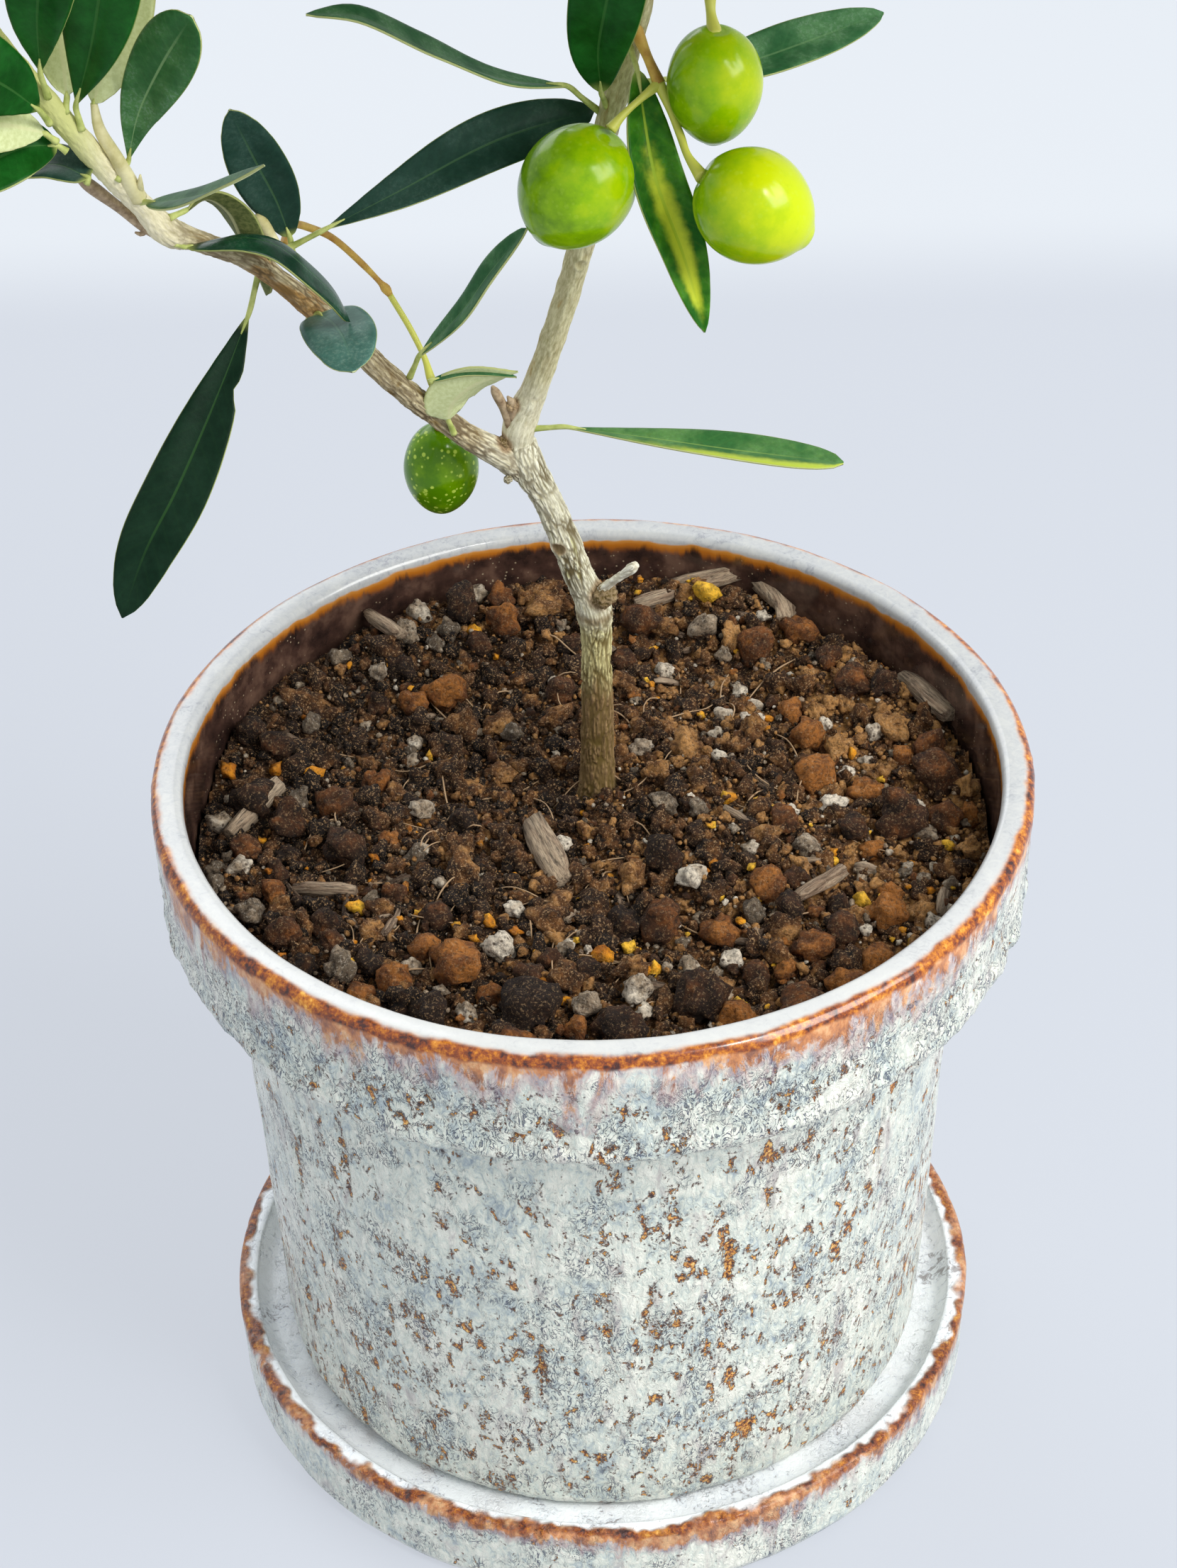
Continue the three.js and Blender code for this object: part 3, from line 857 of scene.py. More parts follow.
def near_to(place, spot, radius):
    """1 at a spot, in millimetres, falling to 0 at a radius from it."""
    away = node(place.tree, "VectorMath", {"operation": "DISTANCE"}, {0: place, 1: Vector(spot) * MM},
                "Value")
    return rise(away, radius * MM, 0.6 * radius * MM)


def bark(name, plate, fissure, blotch, blotch_share, stain=False, tip=None, dark=0.85, cream_reach=17):
    """plate and tip are a dark and a light colour. stain is for the foot, tip for the end of a shoot, and
    cream_reach is how far from the fork the bark is cream, in millimetres."""
    made, tree, shader = material(name, 0.72, Specular_IOR_Level=0.3)
    crack = attribute(tree, "crack")
    place = object_place(tree)
    along = stretched(attribute(tree, "grain", "Vector"), (1, 1, 0.28))
    fine = cloud(along, 2400, 4, 0.65)
    patches = cloud(along, 330, 4, 0.6, 0.5)

    def shades(pair, low, high):
        return ramp(fine, (low, pair[0]), (high, pair[1]))

    color = blend(rise(patches, blotch_share, blotch_share + 0.12), shades(plate, 0.30, 0.62), blotch)
    if cream_reach:
        color = blend(near_to(place, FORK, cream_reach) * 0.7, color, shades(CREAM_PLATES, 0.30, 0.62))
    if stain:
        height = part_of(place, "Z")
        ragged = height + (patches - 0.5) * (16 * MM)
        brown = shades(SOIL_STAIN, 0.3, 0.7)
        color = blend(rise(ragged, 158 * MM, 152 * MM) * 0.88, color, shades(OLIVE_STAIN, 0.3, 0.65))
        color = blend(rise(ragged, 146 * MM, 139 * MM), color, brown)
        color = blend(between(height, 155.4 * MM, 156.8 * MM, 0.7 * MM) * 0.7, color, brown)
    if tip:
        side = part_of(place, "X")
        rusty = between(side, -49 * MM, -37 * MM, 3 * MM) * rise(patches, 0.42, 0.5) * 0.75
        color = blend(rusty, color, BOUGH_RUST)
        color = blend(rise(side, -53 * MM, -60 * MM), color, shades(tip, 0.3, 0.65))
        color = blend(rise(side, -64 * MM, -70 * MM), color, SHOOT_GREEN)
        crack = crack * rise(side, -63 * MM, -52 * MM)
    for spot, radius in BROWN_SPOTS if cream_reach else ():
        color = blend(near_to(place, spot, radius) * 0.85, color, shades(SHED_BROWN, 0.35, 0.62))
    wire(shader, Base_Color=blend(crack * dark, color, fissure))
    bump(shader, fine - crack, 0.5, 0.25 * MM)
    return made


trunk_bark = bark("pale_bark", CREAM_PLATES, (0.10, 0.065, 0.012), (0.62, 0.60, 0.28), 0.58, stain=True,
                  dark=0.93)
leader_bark = bark("leader_bark", ((0.36, 0.32, 0.15), (0.70, 0.65, 0.40)), (0.20, 0.13, 0.045),
                   (0.38, 0.27, 0.09), 0.55, dark=0.28)
bough_bark = bark("bough_bark", ((0.26, 0.20, 0.095), (0.64, 0.55, 0.35)), (0.09, 0.052, 0.018),
                  (0.24, 0.155, 0.04), 0.51, tip=((0.62, 0.56, 0.33), (0.86, 0.79, 0.56)), cream_reach=10)
stub_bark = bark("stub_bark", ((0.66, 0.62, 0.46), (0.94, 0.92, 0.78)), (0.28, 0.22, 0.12),
                 (0.66, 0.66, 0.42), 0.6, dark=0.6, cream_reach=0)
piece("trunk_bark", trunk_mesh, [trunk_bark], ["trunk"])
piece("leader_bark", leader_mesh, [leader_bark], ["leader"])
piece("left_bough_bark", bough_mesh, [bough_bark], ["left_bough"])
piece("cut_stub_bark", stub_mesh, [stub_bark], ["cut_stub"])

# %% [markdown]
# ## Soil
#
# The soil is a potting mix: dark loam in clumps, brown clay balls, grey and white pumice, small orange
# grains, bits of bark and fine roots. It has been stirred, so it is finest and darkest round the stem,
# with the big grains lying in the outer ring and at the front.
#
# The ground comes first: a fine sheet, cut round and raised in clumps. Small Voronoi cells on it are
# crumbs, each with a `tint` of its own.

# %% Soil ground
SOIL_RADIUS = 68.4
# painted light: every soil tint rises by this much for each millimetre to the right, so the soil is paler on
# the right, towards the window lamp
PAINTED_LIGHT_RIGHTWARD = 0.0030


def soil_height(x, y):
    """The height of the frame's soil at a place, in millimetres, banked up a little at the back."""
    waves = 0.5 * math.sin(x / 7 + 1) * math.cos(y / 6) + 0.4 * math.sin((x + y) / 11)
    edge = 0.8 * (math.hypot(x, y) / 69.15) ** 4
    edge -= 3.4 * smoothstep(40, 66, math.hypot(x, y)) * smoothstep(5, 40, y)
    edge -= 2.8 * smoothstep(42, 62, math.hypot(x, y)) * smoothstep(30, 56, y - 0.35 * x)
    mound = 2.6 * math.exp(-((x - 24) ** 2 + (y - 6) ** 2) / 26**2)
    hollow = 2.8 * math.exp(-((x + 13) ** 2 + (y - 15) ** 2) / 15**2)
    return SOIL_LEVEL / MM + waves - edge + mound - hollow


def clumps(x, y):
    """Clods of loam: domes of two sizes with steep gaps, in millimetres."""
    big = noise.voronoi(Vector((x / 9.5, y / 9.5, 3 + 0.5 * noise.noise(Vector((x, y, 0)) / 5))))[0]
    small = noise.voronoi(Vector((x / 4.2, y / 4.2, 8)))[0]
    return 2.5 * (0.45 - big[0]) + 2.1 * (0.4 - small[0])


def from_stem(x, y):
    return math.hypot(x - 1, y - 13)


def ground(x, y):
    """The height of the loam, lower in clods by the stem and with a pit beside it, in millimetres."""
    near_stem = 1 - smoothstep(4, 9, from_stem(x, y))
    pit = 2.6 * math.exp(-((x + 6) ** 2 + (y - 9) ** 2) / 5.5**2)
    return soil_height(x, y) + clumps(x, y) * (1 - 0.6 * near_stem) - pit


def make_ground():
    bm = bmesh.new()
    tint = layer(bm, "tint")
    bmesh.ops.create_grid(bm, x_segments=290, y_segments=290, size=SOIL_RADIUS * MM)
    outside = [vert for vert in bm.verts if vert.co.length > SOIL_RADIUS * MM]
    bmesh.ops.delete(bm, geom=outside, context="VERTS")
    for vert in bm.verts:
        x, y = vert.co.x / MM, vert.co.y / MM
        shift = Vector((noise.noise(Vector((x, y, 1))), noise.noise(Vector((x, y, 7))), 0))
        flat = Vector((x, y, 0)) + shift * 0.5
        near, centres = noise.voronoi(flat / 1.5)
        crumb = 0.62 - near[0]
        fine = 0.5 - noise.voronoi(flat / 0.7 + Vector((0, 0, 4)))[0][0]
        # the tint takes the painted light that pales the soil to the right
        vert[tint] = 0.5 + 0.5 * noise.noise(centres[0] * 7.3) + PAINTED_LIGHT_RIGHTWARD * x
        vert.co.z = (ground(x, y) + 0.9 * crumb + 0.4 * fine) * MM
    return finish_mesh("soil_ground", bm, outward=False)


ground_mesh = make_ground()
print("ground", len(ground_mesh.vertices), "corners, at the stem", round(ground(1, 13), 1), "mm up")

# %% [markdown]
# A soil finish is dark and rough and never one colour. The same recipe serves every grain: a ramp over the
# grain's own tint, fine pale and black specks over it, and a bump of the same specks.

# %% Soil finishes
PORE_BROWN = (0.07, 0.045, 0.03)


def earth(name, stops, specks, pale, speck_scale=1500, rough=0.85, holes=0.0, fibre=False):
    """stops are the colours over the tint, specks the share of pale specks, holes that of pores."""
    made, tree, shader = material(name, rough, Specular_IOR_Level=0.28)
    place = stretched(attribute(tree, "grain", "Vector"), (3.2, 3.2, 0.35)) if fibre else object_place(tree)
    fine = cloud(place, speck_scale, 5, 0.7)
    color = ramp(attribute(tree, "tint") + (cloud(place, 260, 3, 0.6) - 0.5) * 1.5, *stops)
    color = blend(0.95, color, ramp(fine, (0.32, (0.16, 0.16, 0.17)), (0.56, (1.0, 1.0, 1.0))), "MULTIPLY")
    color = blend(rise(cloud(place, speck_scale * 1.5, 3, 0.8), 0.54, 0.64) * specks, color, pale)
    if holes:
        color = blend(rise(cells(place, 900), 0.30, 0.16) * holes, color, PORE_BROWN)
    wire(shader, Base_Color=color)
    bump(shader, fine, 1.0, 0.8 * MM)
    return made


loam = earth("loam", ((0.15, (0.010, 0.005, 0.003)), (0.42, (0.048, 0.019, 0.006)),
                      (0.62, (0.15, 0.060, 0.017)), (0.88, (0.50, 0.25, 0.08))), 0.75, (0.50, 0.31, 0.155))
clay = earth("clay", ((0.15, (0.018, 0.008, 0.004)), (0.45, (0.070, 0.026, 0.009)),
                      (0.7, (0.18, 0.060, 0.014)), (0.95, (0.37, 0.135, 0.026))),
             0.4, (0.42, 0.27, 0.14), 1300)
pumice = earth("pumice", ((0.2, (0.13, 0.095, 0.062)), (0.5, (0.36, 0.27, 0.18)), (0.85, (0.80, 0.70, 0.56))),
               0.3, (0.8, 0.72, 0.60), 1300, holes=0.85)
orange_grain = earth("orange_grain", ((0.25, (0.42, 0.13, 0.006)), (0.6, (0.78, 0.31, 0.012)),
                                      (0.85, (0.92, 0.52, 0.04))), 0.15, (0.9, 0.6, 0.2), 900, 0.5)
chip_bark = earth("chip_bark", ((0.2, (0.12, 0.075, 0.048)), (0.5, (0.30, 0.20, 0.13)),
                                (0.85, (0.54, 0.41, 0.28))),
                  0.4, (0.65, 0.52, 0.38), 800, fibre=True)
piece("soil_ground", ground_mesh, [loam], ["soil"])

# %% [markdown]
# Grains are copies of a few base shapes, each a ball pushed about by noise, with fewer faces the smaller
# and the more numerous the grain is. Many small faces are cheap when they are written straight into one
# mesh, so a kind of grain is one piece, with a tint for each grain.

# %% Grain shapes
FULL_TURN = 6.28
CHIP_WIDTH, CHIP_THICKNESS = 0.34, 0.2  # as shares of the chip's length


def pebble(seed, detail, rough, stretch, facets=0.0):
    bm = bmesh.new()
    bmesh.ops.create_icosphere(bm, subdivisions=detail, radius=0.5)
    shift = Vector((seed * 3.7, seed * 1.3, seed))
    for vert in bm.verts:
        point = vert.co * 2
        swell = 1 + rough * noise.noise(point * 1.1 + shift) + 0.5 * rough * noise.noise(point * 2.6 + shift)
        swell += 0.3 * rough * noise.noise(point * 5 + shift)
        if facets:
            swell -= facets * (noise.voronoi(point * 0.9 + shift)[0][0] - 0.4)
        vert.co = Vector([vert.co[k] * swell * stretch[k] for k in range(3)])
    return arrays(bm)


def chip(seed):
    """A splinter of bark: a cut-up block with ragged ends and ribs along it."""
    bm = bmesh.new()
    bmesh.ops.create_cube(bm, size=1)
    bmesh.ops.subdivide_edges(bm, edges=bm.edges, cuts=3, use_grid_fill=True)
    for vert in bm.verts:
        x, y, z = vert.co
        rib = 0.24 * noise.noise(Vector((y * 5, x * 5, seed + 0.6 * z)))
        ragged = 0.34 * noise.noise(Vector((x * 4, y * 4, seed + 5))) * (abs(z) > 0.2)
        bend = 0.5 * noise.noise(Vector((z * 2.2, seed, 0)))
        taper = (1 - 0.9 * abs(z + 0.15 * math.sin(seed)) ** 1.8) * (1 - 0.3 * (4 * x * y) ** 2)
        vert.co = Vector(((x * taper + bend) * CHIP_THICKNESS + rib * CHIP_THICKNESS,
                          (y * taper + rib + 0.6 * bend) * CHIP_WIDTH, z + ragged))
    return arrays(bm)


def scatter(name, shapes, spots, finish):
    """Copy shapes to spots, each (x, y, z, size, turn, tint, shape), in millimetres."""
    parts, tints, grains = [], [], []
    for x, y, z, size, turn, tint, choice in spots:
        corners, faces = shapes[choice % len(shapes)]
        placed = corners @ np.array(turn).T * size * MM + np.array((x, y, z)) * MM
        parts.append((placed, faces, [0] * len(faces)))
        tints.append(np.full(len(corners), tint))
        grains.append(corners * size * MM)
    mesh = joined(name, parts)
    mesh.attributes.new("tint", "FLOAT", "POINT").data.foreach_set("value", np.concatenate(tints))
    grain = mesh.attributes.new("grain", "FLOAT_VECTOR", "POINT")
    grain.data.foreach_set("vector", np.concatenate(grains).ravel())
    return piece(name, mesh, [finish])


def any_turn(rng):
    return Matrix.Rotation(rng.uniform(0, FULL_TURN), 3, [rng.gauss(0, 1) for _ in range(3)])


def lying_turn(rng, bearing=None, tilt=0.35):
    """Turn something that is long in Z so that it lies on the soil."""
    bearing = rng.uniform(0, FULL_TURN) if bearing is None else bearing
    down = Matrix.Rotation(math.pi / 2 + rng.uniform(-tilt, tilt), 3, "Y")
    return Matrix.Rotation(bearing, 3, "Z") @ down @ Matrix.Rotation(rng.uniform(0, FULL_TURN), 3, "Z")


print("a crumb has", len(pebble(0, 1, 0.3, (1, 1, 1))[1]), "faces and a chip", len(chip(0)[1]))

# %% [markdown]
# Some pieces are landmarks: they are placed one by one, with their sizes. The rest fills in by a seeded
# throw. A thrown grain that would overlap a bigger one too far is thrown again, and the chance to stay
# depends on how far it is from the stem.

# %% Landmark pieces, in millimetres
CLAY_BALLS = [
    ((11, -27), 8.4), ((20.5, -28), 6.8), ((17, -46.5), 9.6), ((-23, -37), 9.4), ((-33, -39), 6.2),
    ((-38.5, -41), 4.8), ((-11, -48), 9.8), ((-27.5, -47.5), 6.6), ((3.5, -53.5), 8.8), ((12, -10.5), 7.4),
    ((53, -2), 9.6), ((60, 11), 8.6), ((47, 7), 6), ((38, 22.5), 7.2), ((39, 11), 7.2), ((60.5, 1), 6),
    ((-44, 7), 7.6), ((-59, 7), 8.6), ((30, 47), 6.5), ((47, 35), 7), ((-52, -27), 6), ((33, -48), 7),
    ((26, -38), 5.5), ((-60, 24), 5.5), ((48, -26), 7.5),
]
PALE_STONES = [
    ((-15.6, -32.5), 6.2, 0.95), ((-1.7, -48), 5.6, 0.5), ((-42, -36), 6.4, 0.4), ((-37.7, -17), 3.6, 0.5),
    ((-60, -9), 4.4, 0.7), ((-26, -15), 3.3, 0.6), ((-13.3, -23), 3.5, 0.85), ((16.4, -16.6), 5.6, 0.85),
    ((36, -9), 5.8, 0.4), ((6.8, -43.6), 6.2, 0.6), ((15, -36.5), 5, 0.6), ((29, 28), 5.2, 0.75),
    ((23.6, 29.8), 4.2, 0.7), ((44.7, 13.2), 3.4, 0.9), ((34.3, 2), 3.8, 0.95), ((41.9, 27.3), 3, 0.9),
    ((13.8, 44.7), 4.2, 0.75), ((20.4, 51.5), 5.8, 0.45), ((-47, 57), 4, 0.6), ((-51, 8), 5, 0.12),
    ((-57.5, -21), 6.6, 0.15), ((-49.6, 26.6), 4.4, 0.2), ((57, -4), 4.6, 0.35), ((9, 20), 4.6, 0.6),
    ((-5, -5.5), 3.6, 0.9), ((50, 24), 4, 0.7),
]
ORANGE_GRAINS = [
    ((21.8, 58.5), 5.6), ((47.5, 56), 3.8), ((-21, 52.6), 2.6), ((32, 49), 2.3), ((-63.5, 15.9), 3.5),
    ((-55.4, 16.5), 3), ((-48.7, 15.7), 3.8), ((-60, 25.7), 3), ((-40, -19.4), 3.2), ((-29.4, -21.7), 2.4),
    ((-23, -26), 2), ((-17.8, -25.8), 3), ((1.3, -33.6), 4.4), ((5.4, -31.4), 3), ((23.4, 4.2), 3),
    ((28.5, 3.2), 3), ((31.3, 1.4), 2.2), ((44.6, -21.7), 3.6), ((60.4, -6.8), 2.6), ((51.9, -32.3), 2.2),
    ((44, 24), 2.6), ((22.8, -46.4), 2.8), ((9.5, -38), 3.2), ((-5.7, -44.3), 2.4), ((-2.5, -18), 2),
    ((19.7, 31.2), 1.9),
]
CHIPS = [
    ((34, 60), 12, 105, 3.6), ((22, 64), 11, 10, 3), ((60, 31), 11.5, 118, 5), ((-8, -7.5), 12, 110, 3.3),
    ((-45.5, -14.5), 8.5, -12, 4.2), ((37, -20), 9, 38, 3.6), ((-58.5, 6), 11, 55, 2.2),
    ((-37, 51), 8, 125, 3.2), ((47, -13), 5, 160, 2.6), ((-34, -25), 5, 70, 2.4), ((13, 60), 7, 20, 2.6),
    ((58, -22), 5, 80, 2.2), ((25, -2), 5, 140, 1.8),
]

print(len(CLAY_BALLS), "clay balls,", len(PALE_STONES), "stones,", len(ORANGE_GRAINS), "orange grains,",
      len(CHIPS), "chips")

# %% Throw the grains
THROW_REACH = 67
SOIL_EDGE = 67.6
STEM_CLEAR = 3.6
TRIES = 30  # for each grain
SHAPES = 8  # of each kind


def throw(rng, count, sizes, keep, taken, apart=0.42):
    """Seeded places for grains of random size, kept with the chance keep(x, y) and clear of taken."""
    spots = []
    for _ in range(count * TRIES):
        if len(spots) == count:
            break
        x, y = rng.uniform(-THROW_REACH, THROW_REACH), rng.uniform(-THROW_REACH, THROW_REACH)
        if rng.random() < 0.6:
            size = rng.uniform(*sizes)
        else:
            size = sizes[0] + (sizes[1] - sizes[0]) * rng.random() ** 2
        at_wall = math.hypot(x, y) > SOIL_EDGE - size / 2
        at_stem = from_stem(x, y) < STEM_CLEAR + size / 2
        if at_wall or at_stem or rng.random() > keep(x, y):
            continue
        if any(math.hypot(x - a, y - b) < apart * (size + wide) for a, b, wide in taken):
            continue
        spots.append((x, y, size))
        taken.append((x, y, size))
    return spots


def outer(x, y):
    """Likelier far from the stem and at the front."""
    return min(1, max(0.04, (math.hypot(x - 1, y - 12) - 16) / 42) + (0.3 if y < -22 else 0))


def laid(rng, spots, sink, turn, tints, lift=0.0):
    """Put thrown grains on the ground, sunk by a share of their size."""
    # each grain's tint takes the painted light that pales the soil to the right
    return [(x, y, ground(x, y) + size * (0.5 - sink) + lift, size, turn(rng),
             rng.uniform(*tints) + PAINTED_LIGHT_RIGHTWARD * x, rng.randrange(SHAPES))
            for x, y, size in spots]


rng = random.Random(41)
clay_shapes = [pebble(k, 3, 0.55, (1, 0.78 + 0.03 * k, 0.82), 0.4 if k % 2 else 0.15) for k in range(SHAPES)]
pumice_shapes = [pebble(20 + k, 3, 0.5, (1, 0.7 + 0.06 * (k % 4), 0.72), 0.5) for k in range(SHAPES)]
clod_shapes = [pebble(40 + k, 3, 0.75, (1, 0.95, 0.8), 0.6) for k in range(SHAPES)]
small_shapes = [pebble(60 + k, 2, 0.6, (1, 0.8, 0.75), 0.5) for k in range(SHAPES)]
crumb_shapes = [pebble(80 + k, 1, 0.3, (1, 0.85, 0.75)) for k in range(SHAPES)]
chip_shapes = [chip(k) for k in range(SHAPES)]

big = [(x, y, size) for (x, y), size in CLAY_BALLS]
pale = [(x, y, size) for (x, y), size, _ in PALE_STONES]
bright = [(x, y, size) for (x, y), size in ORANGE_GRAINS]
taken = big + pale + [(x, y, size * 0.45) for (x, y), size, _, _ in CHIPS] + bright
clay_spots = laid(rng, big + throw(rng, 62, (4.2, 8.0), outer, taken), 0.16, any_turn, (0.1, 1.0))
pale_spots = laid(rng, pale, 0.12, any_turn, (0, 1))
pale_spots = [(*spot[:5], tint, spot[6]) for spot, (_, _, tint) in zip(pale_spots, PALE_STONES)]
pale_spots += laid(rng, throw(rng, 84, (2.2, 5.0), outer, taken), 0.15, any_turn, (0.05, 0.85))
clod_spots = laid(rng, throw(rng, 520, (2.6, 6.2), lambda x, y: 0.9, taken, 0.36), 0.22, any_turn,
                  (0.2, 0.75))
chip_spots = [(x, y, ground(x, y) + 0.25 * width + 1.0, 1.3 * size,
               lying_turn(rng, math.radians(bearing), 0.12), rng.uniform(0.4, 0.9), k)
              for k, ((x, y), size, bearing, width) in enumerate(CHIPS)]
chip_spots += laid(rng, throw(rng, 110, (2.2, 6), outer, taken, 0.2), 0.36, lying_turn, (0.05, 0.8))
orange_spots = laid(rng, bright, 0.05, any_turn, (0.35, 0.95))
orange_spots += laid(rng, throw(rng, 150, (0.9, 2.1), lambda x, y: 0.35 + outer(x, y), [], 0.3), -0.1,
                     any_turn, (0.2, 0.95), lift=0.5)
small_spots = laid(rng, throw(rng, 1500, (1.2, 2.8), lambda x, y: 1, []), 0.05, any_turn, (0.1, 0.9),
                   lift=0.4)
crumb_spots = laid(rng, throw(rng, 8500, (0.5, 1.3), lambda x, y: 1, []), -0.2, any_turn, (0.0, 1.0),
                   lift=0.5)

scatter("clay_balls", clay_shapes, clay_spots, clay)
scatter("pale_stones", pumice_shapes, pale_spots, pumice)
scatter("loam_clods", clod_shapes, clod_spots, loam)
scatter("orange_grains", small_shapes, orange_spots, orange_grain)
scatter("bark_chips", chip_shapes, chip_spots, chip_bark)
scatter("small_grains", small_shapes, small_spots[:1150], loam)
scatter("small_clay", small_shapes, small_spots[1150:1380], clay)
scatter("small_pumice", small_shapes, small_spots[1380:], pumice)
scatter("crumbs", crumb_shapes, crumb_spots[:7200], loam)
scatter("pale_crumbs", crumb_shapes, crumb_spots[7200:8000], pumice)
scatter("bark_crumbs", crumb_shapes, crumb_spots[8000:], chip_bark)

# %% [markdown]
# Fine dead roots lie over the crumbs and catch the light.

# %% Root fibres
fibre_bm = bmesh.new()
for _ in range(150):
    x, y = rng.uniform(-60, 60), rng.uniform(-60, 60)
    way, bow = rng.uniform(0, FULL_TURN), rng.uniform(-0.9, 0.9)
    length, lift = rng.uniform(4, 15), rng.uniform(0.2, 2.2)
    if math.hypot(x, y) > 50:
        continue
    joints = []
    for share in (0, 0.33, 0.66, 1):
        angle = way + bow * share
        px, py = x + math.cos(angle) * length * share, y + math.sin(angle) * length * share
        joints.append((px, py, ground(px, py) + 0.8 + lift * math.sin(math.pi * share),
                       rng.uniform(0.10, 0.17)))
    roll(fibre_bm, joints, 5, 1.2)
piece("root_fibres", finish_mesh("root_fibres", fibre_bm),
      [material("dead_root", 0.8, Base_Color=(0.34, 0.22, 0.12, 1))[0]])

# %% [markdown]
# ## Leaves
#
# An olive leaf is a narrow leathery blade, folded a little along its midrib, dark and glossy above and pale
# and felted beneath. Like the limbs it starts as a flat sheet. The sheet is narrowed to the leaf's
# outline, folded, laid along a curve from its foot to its tip, and given a thickness. Two attributes
# remain: `across`, from -1 at one margin to 1 at the other, and `along`, from foot to tip, so that the
# finish can draw the midrib, the side veins and the pale margin.

# %% Blades
BLADE_ROWS, BLADE_COLUMNS = 34, 12
BLADE_WAVE = 0.25


def outline(v, foot, tip):
    """Half the width of a blade at v along it, 1 where it is widest. Higher numbers are more pointed."""
    widest = foot / (foot + tip)
    return (v / widest) ** foot * ((1 - v) / (1 - widest)) ** tip


def blade(bm, joints, width, faces_to, fold, shape, slots, notch):
    """A blade along joints, in millimetres, its upper side facing faces_to at the foot and at the tip."""
    path, _ = spline(joints, 0.2)
    path = path[np.linspace(0, len(path) - 1, BLADE_ROWS + 1).astype(int)]
    tangents, _ = carried(path, (1, 0, 0))
    start, end = (Vector(face).normalized() for face in faces_to)
    across, along = layer(bm, "across"), layer(bm, "along")
    before = set(bm.faces)
    tilt = math.radians(fold)
    for vert, i, j in sheet(bm, BLADE_ROWS, BLADE_COLUMNS):
        v = i / BLADE_ROWS
        u = 2 * j / BLADE_COLUMNS - 1
        u = math.copysign(abs(u) ** 0.8, u)
        tangent = Vector(tangents[i])
        up = start.lerp(end, v)
        up = (up - tangent * up.dot(tangent)).normalized()
        side = tangent.cross(up)
        half = width / 2 * outline(min(0.9995, max(0.0005, v)), *shape)
        if notch and u < 0:
            half *= 1 - notch[1] * math.exp(-(((v - notch[0]) / 0.035) ** 2))
        lift = abs(u) ** 1.25 * half * math.sin(tilt)
        lift -= 0.14 * math.exp(-((u / 0.09) ** 2)) * math.sin(math.pi * v)
        lift -= 0.07 * half * abs(u) ** 7
        lift += BLADE_WAVE * half * 0.35 * math.sin(5.5 * v + 3 * u + width) * abs(u) * math.sin(math.pi * v)
        vert.co = (Vector(path[i]) + side * (u * half * math.cos(tilt)) + up * lift) * MM
        vert[across], vert[along] = u, v
    made = [face for face in bm.faces if face not in before]
    bmesh.ops.recalc_face_normals(bm, faces=made)
    middle = made[len(made) // 2]
    middle.normal_update()
    up = start.lerp(end, 0.5)
    if middle.normal.dot(up) < 0:
        bmesh.ops.reverse_faces(bm, faces=made)
    for face in made:
        face.material_index = slots[0]
    bmesh.ops.solidify(bm, geom=made, thickness=0.34 * MM)
    upper = set(made)
    for face in set(bm.faces) - before - upper:
        face.material_index = slots[1]


def stalk(bm, joints, around=10, slot=0, spacing=0.5):
    """A thin tube along joints (x, y, z, radius), in millimetres."""
    before = set(bm.faces)
    roll(bm, joints, around, spacing)
    for face in set(bm.faces) - before:
        face.material_index = slot


print("a blade has", BLADE_ROWS * BLADE_COLUMNS, "faces on its upper side")

# %% [markdown]
# The leaf finishes: the upper side in nine tints, from nearly black to green flushed with yellow, with the
# midrib drawn thin and pale, and the underside pale grey-green, or dark where it is shaded, with a lighter
# midrib. A waxy bloom lies in patches on the upper side.

# %% Leaf finishes
WAXY_GREY = (0.30, 0.42, 0.33)
MARGIN_GREEN = (0.36, 0.42, 0.13)
FOOT_GREEN = (0.40, 0.46, 0.12)
SIDE_VEINS = 95


